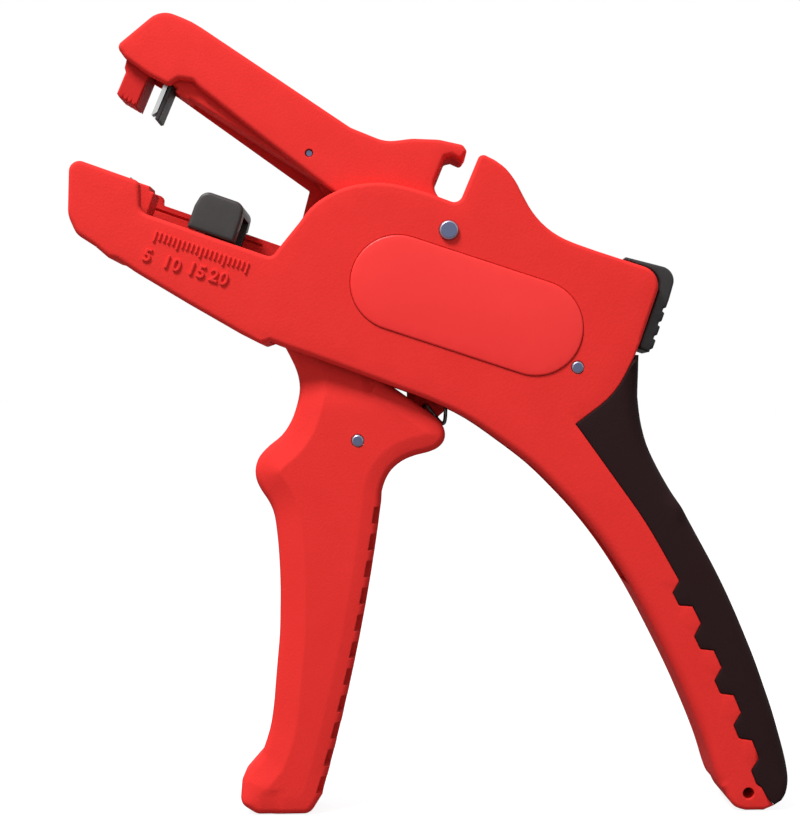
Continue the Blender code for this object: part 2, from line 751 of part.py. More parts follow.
def makeLever(red):
    lever = prism("trigger_lever", leverOutline(), -leverHalf, leverHalf, leverRim, leverRim, pivot)
    cheek = rounded([(-23.5, 90.0), (-26.5, 98.5, 2), (-3.0, 122.0, 3), (2.0, 125.4, 5), (11.3, 126.0, 5),
                     (11.6, 116.5, 5), (3.0, 101.5, 8), (-3.0, 90.0)])
    join(lever, prism("trigger_cheek_front", cheek, -cheekHalf, -forkHalf))
    join(lever, prism("trigger_cheek_back", cheek, forkHalf, cheekHalf))
    slotAlong = Vector(framePin) - Vector(springPin)
    heading = math.degrees(math.atan2(slotAlong.y, slotAlong.x))
    start = Vector(springPin)
    wide = springSlotHalf + 0.2
    first = turned(heading - 9)
    last = turned(heading)
    side = wide * turned(heading + 90)
    slot = [tuple(start - 5 * last + side), tuple(start + 34 * last + side),
            tuple(start + 34 * first - wide * turned(heading + 81)), tuple(start - 5 * last - side)]
    cut(lever, prism("trigger_spring_slot", slot, -springSlotHalf, springSlotHalf))
    for i in range(notchCount // 2):
        z = 10.0 + 2 * notchPitch * i
        top = z + 2 * notchPitch - 1.8
        pocket = [(leverEdge(z) + 2, z), (leverEdge(top) + 2, top), (leverEdge(top) - 11.5, top),
                  (leverEdge(z) - 9.5, z)]
        for y in (-pocketHalf, webHalf):
            cut(lever, prism("trigger_pocket_%d_%d" % (i, y), pocket, y, y + pocketHalf - webHalf))
    for y in (-through, pocketHalf - 1):
        cut(lever, prism("trigger_comb_%d" % y, leverComb(), y, y + through - pocketHalf + 1))
    cut(lever, prism("trigger_bore", circle(pivot, pivotDiameter / 2 + clear, 16), -through, through))
    for label, where in (("spring", springPin), ("pull", pullPin)):
        bore = circle(where, crossPinDiameter / 2 + clear, 16)
        cut(lever, prism("trigger_bore_" + label, bore, -through, through))
    finish(lever, red)


# Return spring between the lever and the frame pin

def makeSpring(steel, black):
    a = Vector(springPin)
    b = Vector(framePin)
    along = (b - a).normalized()
    side = Vector((-along.y, along.x))

    def seat(name, start, sign):
        def block(near, far, half):
            foot = start + sign * near * along
            head = start + sign * far * along
            return [tuple(foot + half * side), tuple(head + half * side),
                    tuple(head - half * side), tuple(foot - half * side)]

        item = prism(name, circle(start, 3.3), -seatHalf, seatHalf, 0, 0, start)
        join(item, prism(name + "_collar", block(2.6, seatFace, seatCollar), -seatHalf, seatHalf))
        join(item, prism(name + "_peg", block(seatFace - 0.2, seatFace + seatPeg, 1.9), -1.4, 1.4))
        cut(item, prism(name + "_bore", circle(start, crossPinDiameter / 2 + clear, 16), -6, 6))
        finish(item, black)

    seat("lever_spring_seat", a, 1)
    seat("frame_spring_seat", b, -1)
    begin = seatFace + clear + springWire / 2
    length = (b - a).length - 2 * begin
    path = []
    for k in range(springTurns * 12 + 1):
        share = k / (springTurns * 12)
        angle = 2 * math.pi * springTurns * share
        spot = a + along * (begin + length * share) + side * springRadius * math.cos(angle)
        path.append(Vector((spot.x, springRadius * math.sin(angle), spot.y)))
    finish(tube("return_spring", path, springWire / 2), steel, True)


def makeClosingSpring(steel):
    """Torsion spring on the pivot pin that shuts the upper jaw as the lever starts to move."""
    path = [Vector((pivot[0] - 2.6, -1.6, pivot[1] + 5.3))]
    for k in range(26):
        angle = math.radians(20 + 36 * k)
        y = -1.6 + 3.2 * k / 25
        spot = Vector(pivot) + closingRadius * Vector((math.cos(angle), math.sin(angle)))
        path.append(Vector((spot.x, y, spot.y)))
    last = path[-1]
    path.append(last + Vector((-2.4, 0, -4.2)))
    finish(tube("closing_spring", path, closingWire / 2), steel, True)


def makePins(steel):
    reach = bodyHalf + badgeProud + pinProud
    finish(rodY("pivot_pin", pivot, pivotDiameter, -reach, reach, 24), steel, True)
    reach = bodyHalf + pinProud
    finish(rodY("frame_pin", framePin, crossPinDiameter, -reach, reach), steel, True)
    reach = leverHalf + pinProud
    finish(rodY("spring_pin", springPin, crossPinDiameter, -reach, reach), steel, True)
    finish(rodY("pull_pin", pullPin, crossPinDiameter, -cheekHalf, cheekHalf), steel, True)
    reach = jawHalf - pinProud
    finish(rodY("jaw_roll_pin", rollPin, rollPinDiameter, -reach, reach, 12, 0.2), steel, True)


def main():
    clearScene()
    red = material("red_nylon", (0.62, 0.035, 0.025), 0.45)
    softBlack = material("soft_black", (0.022, 0.016, 0.017), 0.7)
    black = material("black_nylon", (0.03, 0.028, 0.028), 0.5)
    grey = material("dark_grey_nylon", (0.06, 0.055, 0.052), 0.5)
    steel = material("steel", (0.5, 0.5, 0.52), 0.3, 1.0)
    springSteel = material("spring_steel", (0.12, 0.12, 0.13), 0.4, 1.0)
    bodyShell("front_shell", -1, red)
    bodyShell("rear_shell", 1, red)
    makeBadge("front_pad", -1, red)
    makeBadge("rear_pad", 1, red)
    makeGrip(softBlack)
    makeAdjuster(black)
    makeUpperJaw(red)
    makeClampBlock(red)
    makeUpperCarriage(red)
    makeUpperBlade(steel, black)
    makeLowerClamp(red)
    makeLowerCarriage(red)
    makeLowerBlade(steel)
    makeStop(grey)
    makeLever(red)
    makeSpring(springSteel, black)
    makeClosingSpring(springSteel)
    makePins(steel)


main()
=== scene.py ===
import json
import math
import bpy
import bmesh
import numpy as np
from mathutils import Matrix, Vector
from mathutils.geometry import delaunay_2d_cdt

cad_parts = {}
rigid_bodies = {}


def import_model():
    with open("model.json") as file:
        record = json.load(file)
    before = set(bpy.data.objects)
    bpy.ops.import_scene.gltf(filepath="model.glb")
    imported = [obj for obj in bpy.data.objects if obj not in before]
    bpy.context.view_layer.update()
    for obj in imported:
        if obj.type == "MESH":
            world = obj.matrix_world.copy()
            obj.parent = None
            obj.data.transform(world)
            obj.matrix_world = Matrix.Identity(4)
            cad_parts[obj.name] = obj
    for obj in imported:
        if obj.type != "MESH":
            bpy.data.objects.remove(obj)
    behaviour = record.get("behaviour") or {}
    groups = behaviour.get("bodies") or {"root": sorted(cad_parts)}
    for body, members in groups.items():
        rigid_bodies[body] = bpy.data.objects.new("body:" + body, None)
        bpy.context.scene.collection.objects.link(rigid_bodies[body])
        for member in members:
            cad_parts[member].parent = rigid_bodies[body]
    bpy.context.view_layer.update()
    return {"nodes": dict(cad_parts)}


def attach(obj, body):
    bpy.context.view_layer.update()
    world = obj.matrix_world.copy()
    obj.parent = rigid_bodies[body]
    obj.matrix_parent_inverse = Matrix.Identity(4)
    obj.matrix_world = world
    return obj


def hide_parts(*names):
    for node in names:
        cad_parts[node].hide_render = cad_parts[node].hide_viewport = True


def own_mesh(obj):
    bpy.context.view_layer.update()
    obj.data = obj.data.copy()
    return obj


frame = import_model()
nodes = frame["nodes"]
print("frame: %d solids loaded" % len(nodes))

mm = 0.001
middle = 1.34  # outlines below are in mm, and this x lies at the frame's origin
through = 14.0  # a cut from minus this y to plus this y passes through every piece
undivided = 1000.0  # longer than any edge, so an outline keeps its own points


# plane geometry in mm, x to the back of the tool and z up

def turned(angle):
    return Vector((math.cos(math.radians(angle)), math.sin(math.radians(angle))))


pivot = Vector((6.3, 121.0))
framePin = Vector((32.5, 92.2))
springPin = Vector((-13.3, 77.7))
pullPin = pivot + 16.5 * turned(-133.75)
rollPin = Vector((-22.5, 137.8))
ledgePoint = Vector((-44.2, 121.0))
ledgeAngle = -20.0
jawAngle = -31.5
backLow = Vector((45.7, 97.6))
backHigh = Vector((50.9, 111.3))


def low(s, h):  # s back along the ledge of the lower jaw, h up from it
    return tuple(ledgePoint + s * turned(ledgeAngle) + h * turned(ledgeAngle + 90))


def high(s, h):  # s back along the upper slide, h up from it
    return tuple(pivot + s * turned(jawAngle) + h * turned(jawAngle + 90))


def back(s, d):  # s up the back of the body, d out of it
    along = (backHigh - backLow).normalized()
    return tuple(backLow + s * along + d * Vector((along.y, -along.x)))


def rounded(points, step=7.0):  # a third value at a point is the radius of its corner
    out = []
    for i, point in enumerate(points):
        here = Vector(point[:2])
        radius = point[2] if len(point) > 2 else 0
        before = Vector(points[i - 1][:2]) - here
        after = Vector(points[(i + 1) % len(points)][:2]) - here
        a = before.normalized()
        b = after.normalized()
        half = math.acos(max(-1.0, min(1.0, a.dot(b)))) / 2
        turn = math.degrees(math.pi - 2 * half)
        if radius == 0 or turn < 1:
            out.append(tuple(here))
            continue
        reach = min(radius / math.tan(half), 0.49 * before.length, 0.49 * after.length)  # within its edges
        centre = here + (a + b).normalized() * (reach / math.cos(half))
        start = here + a * reach - centre
        sweep = start.angle_signed(here + b * reach - centre)
        count = max(2, round(turn / step), math.ceil(start.length * abs(sweep) / 2.5))
        for k in range(count + 1):
            c = math.cos(-sweep * k / count)
            s = math.sin(-sweep * k / count)
            out.append(tuple(centre + Vector((start.x * c - start.y * s, start.x * s + start.y * c))))
    return out


def curved(points, steps=3):  # a smooth line through the points, ends included
    spots = [Vector(point) for point in points]
    out = []
    for i in range(len(spots) - 1):
        a, b, c, d = spots[max(i - 1, 0)], spots[i], spots[i + 1], spots[min(i + 2, len(spots) - 1)]
        for k in range(steps):
            t = k / steps
            bend = (2 * a - 5 * b + 4 * c - d) * t + (3 * b - a - 3 * c + d) * t * t
            out.append(tuple(b + 0.5 * t * (c - a + bend)))
    return out + [tuple(spots[-1])]


def circle(centre, radius, steps=40):
    return [tuple(Vector(centre) + radius * turned(360 * (k + 0.5) / steps)) for k in range(steps)]


def oblong(frameOf, corner, far):  # a rectangle in one of the frames above, from one corner to the far one
    return [frameOf(*corner), frameOf(far[0], corner[1]), frameOf(*far), frameOf(corner[0], far[1])]


def ringOf(outline, longest):  # counter-clockwise, with no edge longer than longest
    spots = np.array(outline, float)
    ahead = np.roll(spots, -1, 0)
    if (spots[:, 0] * ahead[:, 1] - ahead[:, 0] * spots[:, 1]).sum() < 0:
        spots = spots[::-1]
    out = []
    for a, b in zip(spots, np.roll(spots, -1, 0)):
        count = max(1, math.ceil(np.linalg.norm(b - a) / longest))
        out += [a + (b - a) * k / count for k in range(count)]
    return np.array(out)


def gaps(spots, ring):  # distance of each spot from the outline, and the outline point before it
    along = np.roll(ring, -1, 0) - ring
    share = ((spots[:, None] - ring) * along).sum(2) / (along ** 2).sum(1)
    off = spots[:, None] - ring - np.clip(share, 0, 1)[..., None] * along
    gap = np.sqrt((off ** 2).sum(2))
    return gap.min(1), gap.argmin(1)


def inside(spots, ring):
    x, z = spots[:, 0, None], spots[:, 1, None]
    a, b = ring, np.roll(ring, -1, 0)
    spans = (a[:, 1] > z) != (b[:, 1] > z)
    rise = np.where(b[:, 1] == a[:, 1], 1e-9, b[:, 1] - a[:, 1])
    return ((spans & (x < a[:, 0] + (z - a[:, 1]) * (b[:, 0] - a[:, 0]) / rise)).sum(1) % 2) == 1


def outwards(ring):  # unit vector out of the outline at each point
    along = np.roll(ring, -1, 0) - np.roll(ring, 1, 0)
    along /= np.linalg.norm(along, axis=1)[:, None]
    return np.stack([along[:, 1], -along[:, 0]], 1)


def skin(ring, rim, grid, relief, lines):  # one moulded face: spots, how deep each lies, triangles
    out = outwards(ring)
    step = np.roll(ring, -1, 0) - ring
    step /= np.linalg.norm(step, axis=1)[:, None]
    spread = np.clip(step[:, 1] * out[:, 0] - step[:, 0] * out[:, 1], 0.6, 1)
    spots, deep, away = [ring], [rim], [np.zeros(len(ring))]
    rows = [rim * share for share in (0.035, 0.134, 0.293, 0.5, 0.74, 1.0)]  # closest where the rim is steep
    rows += [np.full(len(ring), line) for line in lines]
    for size in rows:
        there = ring - out * (size / spread)[:, None]
        gap, near = gaps(there, ring)
        keep = (gap > 0.97 * size) & (size > 0.02) & inside(there, ring)  # none where two rows would cross
        left = np.maximum(rim - gap, 0)
        spots.append(there[keep])
        deep.append((rim - np.sqrt(np.maximum(rim ** 2 - left ** 2, 0)))[keep])
        away.append(gap[keep])
    lo, hi = ring.min(0), ring.max(0)
    xs = np.arange(lo[0], hi[0], grid)
    zs = np.arange(lo[1], hi[1], grid * 0.87)  # rows of even triangles
    mesh = np.array([(x + grid / 2 * (k % 2), z) for k, z in enumerate(zs) for x in xs])
    mesh = mesh[inside(mesh, ring)]
    gap, near = gaps(mesh, ring)
    keep = gap > rim[near] + 0.55 * grid
    for line in lines:
        keep &= np.abs(gap - line) > 0.3 * grid
    spots.append(mesh[keep])
    deep.append(np.zeros(keep.sum()))
    away.append(gap[keep])
    spots, deep, away = np.concatenate(spots), np.concatenate(deep), np.concatenate(away)
    if relief:
        deep = deep + relief(spots[:, 0], spots[:, 1], away)
    count = len(ring)
    edges = [(i, (i + 1) % count) for i in range(count)]
    made = delaunay_2d_cdt([Vector(spot) for spot in spots], edges, [], 1, 1e-6)
    first = [min(found) if found else -1 for found in made[3]]
    faces = [[first[v] for v in face] for face in made[2]]
    return spots, deep, [face for face in faces if min(face) >= 0 and len(set(face)) == 3]


def place(name, data):  # a new object in the scene
    item = bpy.data.objects.new(name, data)
    bpy.context.scene.collection.objects.link(item)
    return item


def newPiece(name, verts, faces):
    mesh = bpy.data.meshes.new(name)
    mesh.from_pydata([((x - middle) * mm, y * mm, z * mm) for x, y, z in verts], [], faces)
    draft = bmesh.new()
    draft.from_mesh(mesh)
    bmesh.ops.recalc_face_normals(draft, faces=draft.faces)
    draft.to_mesh(mesh)
    draft.free()
    piece = place(name, mesh)
    soften(piece)
    return piece


def soften(piece, angle=33):  # smooth shading, with an edge kept where faces turn by more than the angle
    piece.data.shade_smooth()
    piece.data.set_sharp_from_angle(angle=math.radians(angle))


def moulded(name, outline, yLow, yHigh, rimLow=0, rimHigh=0, grid=3.0, relief=None, lines=()):
    # an outline drawn out along y, each rim rounded by one radius or by a rule for each point
    ring = ringOf(outline, min(grid * 0.7, 2.0) if rimLow or rimHigh or relief else undivided)
    verts, faces, rows = [], [], []
    for y, way, rim in ((yLow, 1, rimLow), (yHigh, -1, rimHigh)):
        base = len(verts)
        rows.append(base)
        if not rim:
            verts += [(x, y, z) for x, z in ring]
            faces.append(list(range(base, base + len(ring))))
            continue
        sizes = rim(outwards(ring), ring) if callable(rim) else np.full(len(ring), float(rim))
        for _ in range(4):  # so that a rim swells and fades gradually
            sizes = (np.roll(sizes, 1) + 2 * sizes + np.roll(sizes, -1)) / 4
        spots, deep, tris = skin(ring, sizes, grid, relief, lines)
        verts += [(x, y + way * d, z) for (x, z), d in zip(spots, deep)]
        faces += [[base + v for v in tri] for tri in tris]
    count = len(ring)
    for i in range(count):
        j = (i + 1) % count
        faces.append([rows[0] + i, rows[0] + j, rows[1] + j, rows[1] + i])
    return newPiece(name, verts, faces)


def block(outline, yLow, yHigh):  # a plain tool for a cut
    return moulded("tool", outline, min(yLow, yHigh), max(yLow, yHigh))


def slab(outline, half):  # a tool that reaches as far to both sides
    return block(outline, -half, half)


def pair(outline, near, far):  # the same tool on each side, from near to far
    return [block(outline, -far, -near), block(outline, near, far)]


def bore(centre, radius):
    return slab(circle(centre, radius), through)


def finalMesh(item):  # the mesh of an object with its modifiers or its bevel
    bpy.context.view_layer.update()
    graph = bpy.context.evaluated_depsgraph_get()
    return bpy.data.meshes.new_from_object(item.evaluated_get(graph))


def shape(piece, operation, tools):
    for tool in tools:
        step = piece.modifiers.new("shape", "BOOLEAN")
        step.operation = operation
        step.solver = "EXACT"
        step.object = tool
    mesh = finalMesh(piece)
    piece.modifiers.clear()
    piece.data = mesh
    soften(piece)
    for tool in tools:
        bpy.data.objects.remove(tool, do_unlink=True)


def together(name, pieces):  # several meshes in one object, each keeping its own surface
    joined = bmesh.new()
    for piece in pieces:
        joined.from_mesh(piece.data)
        bpy.data.objects.remove(piece, do_unlink=True)
    mesh = bpy.data.meshes.new(name)
    joined.to_mesh(mesh)
    joined.free()
    whole = place(name, mesh)
    soften(whole)
    return whole


def wire(name, path, radius, sides=12):
    verts, faces = [], []
    count = len(path)
    normal = Vector((0.13, 0.71, 0.32))  # any direction that the path doesn't start along
    for k, spot in enumerate(path):
        along = (path[min(k + 1, count - 1)] - path[max(k - 1, 0)]).normalized()
        normal = (normal - along * normal.dot(along)).normalized()
        across = along.cross(normal)
        for j in range(sides):
            t = 2 * math.pi * j / sides
            verts.append(tuple(spot + radius * (normal * math.cos(t) + across * math.sin(t))))
    for k in range(count - 1):
        for j in range(sides):
            n = (j + 1) % sides
            faces.append([k * sides + j, k * sides + n, (k + 1) * sides + n, (k + 1) * sides + j])
    faces += [list(range(sides)), list(range((count - 1) * sides, count * sides))]
    return newPiece(name, verts, faces)


# materials

def colour(code):  # sRGB hex to linear
    parts = [int(code[k:k + 2], 16) / 255 for k in (1, 3, 5)]
    return tuple(p / 12.92 if p <= 0.04045 else ((p + 0.055) / 1.055) ** 2.4 for p in parts) + (1.0,)


def add(tree, kind, settings=None, links=None):  # a node with its settings and what feeds it
    node = tree.nodes.new(kind)
    for key, value in (settings or {}).items():
        if isinstance(key, int) or key in node.inputs:
            node.inputs[key].default_value = value
        else:
            setattr(node, key, value)
    for key, source in (links or {}).items():
        tree.links.new(source, node.inputs[key])
    return node


noiseSpan = {"From Min": 0.3, "From Max": 0.7}  # where nearly all of a noise pattern's values lie


def newMaterial(name, base, roughness, metallic=0.0, ior=1.5):
    made = bpy.data.materials.new(name)
    made.use_nodes = True
    made.diffuse_color = colour(base)
    shader = made.node_tree.nodes["Principled BSDF"]
    shader.inputs["Base Color"].default_value = colour(base)
    shader.inputs["Roughness"].default_value = roughness
    shader.inputs["Metallic"].default_value = metallic
    if not metallic:
        shader.inputs["IOR"].default_value = ior
    return made, made.node_tree, shader


def mouldedNylon(name, look):
    # injection-moulded, glass-filled nylon from a spark-eroded mould: an even satin skin with a fine
    # sandy grain, faint cloudy flow in the colour, and edges that handling has rubbed lighter
    made, tree, shader = newMaterial(name, look["base"], look["rough"])
    shader.inputs["Specular IOR Level"].default_value = look["gloss"]
    spot = add(tree, "ShaderNodeTexCoord").outputs["Object"]
    cloud = add(tree, "ShaderNodeTexNoise",
                {"Scale": 1 / (look["cloudMm"] * mm), "Detail": 3.0, "Roughness": 0.6},
                {"Vector": spot})
    grain = add(tree, "ShaderNodeTexNoise",
                {"Scale": 1 / (look["grainMm"] * mm), "Detail": 2.0, "Roughness": 0.65},
                {"Vector": spot})
    edge = add(tree, "ShaderNodeBevel", {"samples": 6, "Radius": look["edgeMm"] * mm})
    surface = add(tree, "ShaderNodeNewGeometry")
    agree = add(tree, "ShaderNodeVectorMath", {"operation": "DOT_PRODUCT"},
                {0: edge.outputs["Normal"], 1: surface.outputs["Normal"]})
    rubbed = add(tree, "ShaderNodeMapRange",
                 {"From Min": 1.0, "From Max": 0.86, "To Min": 0.0, "To Max": look["wear"]},
                 {"Value": agree.outputs["Value"]})
    patchy = add(tree, "ShaderNodeMath", {"operation": "MULTIPLY"},
                 {0: rubbed.outputs["Result"], 1: cloud.outputs["Fac"]})
    tint = add(tree, "ShaderNodeMix", {"data_type": "RGBA", 6: colour(look["deep"]), 7: colour(look["base"])},
               {0: cloud.outputs["Fac"]})
    worn = add(tree, "ShaderNodeMix", {"data_type": "RGBA", 7: colour(look["worn"])},
               {0: patchy.outputs[0], 6: tint.outputs[2]})
    tree.links.new(worn.outputs[2], shader.inputs["Base Color"])
    rough = add(tree, "ShaderNodeMapRange",
                {**noiseSpan, "To Min": look["rough"] - 0.05, "To Max": look["rough"] + 0.05},
                {"Value": grain.outputs["Fac"]})
    tree.links.new(rough.outputs["Result"], shader.inputs["Roughness"])
    bump = add(tree, "ShaderNodeBump", {"Strength": look["bump"], "Distance": 0.08 * mm},
               {"Height": grain.outputs["Fac"], "Normal": edge.outputs["Normal"]})
    tree.links.new(bump.outputs["Normal"], shader.inputs["Normal"])
    return made


# grain and clouds in mm; the real grain is nearer 0.1 mm and is drawn coarser so that it shows
# matt red of the body, the lever and the jaw
redLook = {"base": "#E5322E", "deep": "#DC2C28", "worn": "#EE4B46", "rough": 0.76, "gloss": 0.14,
           "bump": 0.65, "grainMm": 0.45, "cloudMm": 9.0, "edgeMm": 0.35, "wear": 0.5}
# painted shade: the ribbed clamp face gets a darker red than the body's, standing in for the shade it lies in
# behind the jaw's near wall; it is also a little polished by wires
clampShadeLook = {"base": "#CB1E1B", "deep": "#C01A17", "worn": "#D8403B", "rough": 0.66, "gloss": 0.2,
             "bump": 0.4, "grainMm": 0.45, "cloudMm": 9.0, "edgeMm": 0.2, "wear": 0.5}
# the pads come from a polished part of the mould, so they are smooth and reflect more
padLook = {"base": "#EF2E2B", "deep": "#E82724", "worn": "#F5524E", "rough": 0.42, "gloss": 0.4,
           "bump": 0.08, "grainMm": 0.5, "cloudMm": 14.0, "edgeMm": 0.3, "wear": 0.4}
# warm dark grey of the length stop
stopLook = {"base": "#35312F", "deep": "#2D2928", "worn": "#55504D", "rough": 0.5, "gloss": 0.4,
            "bump": 0.3, "grainMm": 0.3, "cloudMm": 5.0, "edgeMm": 0.3, "wear": 0.5}
# black of the thumb slide and the parts inside
blackLook = {"base": "#252122", "deep": "#1E1A1B", "worn": "#454141", "rough": 0.52, "gloss": 0.4,
             "bump": 0.3, "grainMm": 0.3, "cloudMm": 5.0, "edgeMm": 0.3, "wear": 0.6}


def softGripRubber(look):
    # overmoulded thermoplastic rubber with a fine leathery grain: deep brownish black, a dull sheen at
    # grazing angles and slightly polished palm areas
    made, tree, shader = newMaterial("softGripRubber", look["base"], look["rough"])
    shader.inputs["Specular IOR Level"].default_value = look["gloss"]
    spot = add(tree, "ShaderNodeTexCoord").outputs["Object"]
    cells = add(tree, "ShaderNodeTexVoronoi",
                {"Scale": 1 / (look["grainMm"] * mm), "feature": "SMOOTH_F1"},
                {"Vector": spot})
    palm = add(tree, "ShaderNodeTexNoise", {"Scale": 1 / (look["palmMm"] * mm), "Detail": 2.0},
               {"Vector": spot})
    tint = add(tree, "ShaderNodeMix", {"data_type": "RGBA", 6: colour(look["deep"]), 7: colour(look["base"])},
               {0: palm.outputs["Fac"]})
    tree.links.new(tint.outputs[2], shader.inputs["Base Color"])
    rough = add(tree, "ShaderNodeMapRange",
                {**noiseSpan, "To Min": look["rough"] - 0.08, "To Max": look["rough"] + 0.06},
                {"Value": palm.outputs["Fac"]})
    tree.links.new(rough.outputs["Result"], shader.inputs["Roughness"])
    edge = add(tree, "ShaderNodeBevel", {"samples": 6, "Radius": 0.4 * mm})
    bump = add(tree, "ShaderNodeBump", {"Strength": 0.35, "Distance": 0.05 * mm},
               {"Height": cells.outputs["Distance"], "Normal": edge.outputs["Normal"]})
    tree.links.new(bump.outputs["Normal"], shader.inputs["Normal"])
    return made


# the leathery cells are about 0.3 mm across on the real grip and drawn coarser so that they show
gripLook = {"base": "#291415", "deep": "#211011", "rough": 0.8, "gloss": 0.12, "grainMm": 0.55,
            "palmMm": 16.0}


def turnedSteel(look):
    # drawn steel pin with a turned end: a dull bluish face, and a painted highlight on the chamfer,
    # a brighter colour standing in for the light it reflects
    made, tree, shader = newMaterial("turnedSteel", look["base"], look["rough"], metallic=1.0)
    coord = add(tree, "ShaderNodeTexCoord")
    facing = add(tree, "ShaderNodeSeparateXYZ", None, {0: coord.outputs["Normal"]})
    flat = add(tree, "ShaderNodeMath", {"operation": "ABSOLUTE"}, {0: facing.outputs["Y"]})
    # painted highlight: faces that turn away from the flat end, the chamfer among them, get the brighter
    # colour
    chamfer = add(tree, "ShaderNodeMapRange", {"From Min": 0.97, "From Max": 0.85},
                  {"Value": flat.outputs[0]})
    tint = add(tree, "ShaderNodeMix",
               {"data_type": "RGBA", 6: colour(look["base"]), 7: colour(look["chamferHighlight"])},
               {0: chamfer.outputs["Result"]})
    tree.links.new(tint.outputs[2], shader.inputs["Base Color"])
    rings = add(tree, "ShaderNodeTexNoise", {"Scale": 1 / (look["ringMm"] * mm), "Detail": 2.0},
                {"Vector": coord.outputs["Object"]})
    rough = add(tree, "ShaderNodeMapRange",
                {**noiseSpan, "To Min": look["rough"] - 0.08, "To Max": look["rough"] + 0.1},
                {"Value": rings.outputs["Fac"]})
    tree.links.new(rough.outputs["Result"], shader.inputs["Roughness"])
    bump = add(tree, "ShaderNodeBump", {"Strength": 0.15, "Distance": 0.02 * mm},
               {"Height": rings.outputs["Fac"]})
    tree.links.new(bump.outputs["Normal"], shader.inputs["Normal"])
    return made


# turning marks, drawn coarser than the real 0.1 mm so that they show
# the lighter of the two colours is a painted highlight on the chamfer
pinLook = {"base": "#5F6580", "chamferHighlight": "#A3A5B4", "rough": 0.42, "ringMm": 0.25}


def groundSteel(name, look):
    # hardened steel, ground across: fine straight scratches that stretch the highlight along the edge
    made, tree, shader = newMaterial(name, look["base"], look["rough"], metallic=1.0)
    spot = add(tree, "ShaderNodeTexCoord").outputs["Object"]
    stretch = add(tree, "ShaderNodeMapping", {"Scale": look["stretch"]}, {"Vector": spot})
    scratch = add(tree, "ShaderNodeTexNoise", {"Scale": 1 / (look["scratchMm"] * mm), "Detail": 2.0},
                  {"Vector": stretch.outputs["Vector"]})
    tint = add(tree, "ShaderNodeMix", {"data_type": "RGBA", 6: colour(look["deep"]), 7: colour(look["base"])},
               {0: scratch.outputs["Fac"]})
    tree.links.new(tint.outputs[2], shader.inputs["Base Color"])
    bump = add(tree, "ShaderNodeBump", {"Strength": 0.25, "Distance": 0.02 * mm},
               {"Height": scratch.outputs["Fac"]})
    tree.links.new(bump.outputs["Normal"], shader.inputs["Normal"])
    return made


# bright ground blade, a darkened copy of it for the lower blade, whose darker colour is painted shade,
# and oiled spring wire; the real scratches are nearer 0.05 mm apart and are drawn coarser so that they show
bladeLook = {"base": "#C4C4C4", "deep": "#A9A9AB", "rough": 0.32, "scratchMm": 0.2,
             "stretch": (1.0, 0.08, 1.0)}
shadedBladeLook = {"base": "#5A5858", "deep": "#464444", "rough": 0.4, "scratchMm": 0.2,
             "stretch": (1.0, 0.08, 1.0)}
springLook = {"base": "#6E6C6C", "deep": "#565454", "rough": 0.36, "scratchMm": 0.25,
              "stretch": (1.0, 1.0, 1.0)}

redNylon = mouldedNylon("redNylon", redLook)
# the clamp's red is a darker copy of the body's red: painted shade
shadedClampNylon = mouldedNylon("shadedClampNylon", clampShadeLook)
padNylon = mouldedNylon("padNylon", padLook)
stopNylon = mouldedNylon("stopNylon", stopLook)
blackNylon = mouldedNylon("blackNylon", blackLook)
gripRubber = softGripRubber(gripLook)
pinSteel = turnedSteel(pinLook)
bladeSteel = groundSteel("bladeSteel", bladeLook)
# painted shade: the lower blade's steel is a darkened copy of the bright blade's
shadedBladeSteel = groundSteel("shadedBladeSteel", shadedBladeLook)
springWire = groundSteel("springWire", springLook)
print("materials: made")


def dress(piece, made, body, slot, *stoodFor):
    piece.data.materials.clear()
    piece.data.materials.append(made)
    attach(piece, body)
    if stoodFor:
        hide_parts(*stoodFor)


# radii of the holes round the pins, tight where the pin sits still and loose where a piece turns on it

boreSpec = {"pivotTight": 2.06, "pivotLoose": 2.3, "pin": 1.36, "rollPin": 0.87}


# body shells

bodySpec = {"half": 10.5, "wall": 2.4, "gap": 0.15, "rim": 0.9, "underRim": (1.2, 2.6), "seamRim": 0.25,
            "seamReach": 0.1, "clear": 0.3, "grid": 3.2, "past": 2.0, "overlap": 0.5, "bossRadius": 3.4,
            "bossEnd": 4.6, "railEnd": 2.8, "slotHalf": 2.3, "lanyardAt": (66.4, 3.6), "lanyardRadius": 1.2,
            "teeth": 5, "firstTooth": (51.4, 45.3), "toothHeading": -64.5, "toothTurn": 1.7,
            "toothPitch": 10.05, "toothRise": 2.4}
bodyFloor = bodySpec["half"] - bodySpec["wall"]


def toothLine():  # the stepped seam of the grip, whose heading turns a little from tooth to tooth
    spots = []
    here = Vector(bodySpec["firstTooth"])
    for i in range(bodySpec["teeth"]):
        along = turned(bodySpec["toothHeading"] - bodySpec["toothTurn"] * i)
        out = bodySpec["toothRise"] * Vector((-along.y, along.x))
        spots += [tuple(here), tuple(here + 2.9 * along)]
        spots += [tuple(here + 4.3 * along + out), tuple(here + 8.3 * along + out)]
        here = here + bodySpec["toothPitch"] * along
    return spots


def gripEdge():
    upper = [(44.5, 94.7), (40.2, 86.6, 18), (31.9, 80.5), (46.2, 59.9, 90), (52.8, 47.7, 0.6)]
    return upper + toothLine()[:-2] + [(69.2, 4.6, 0.4), (70.4, 2.3), (71.7, 1.0)]


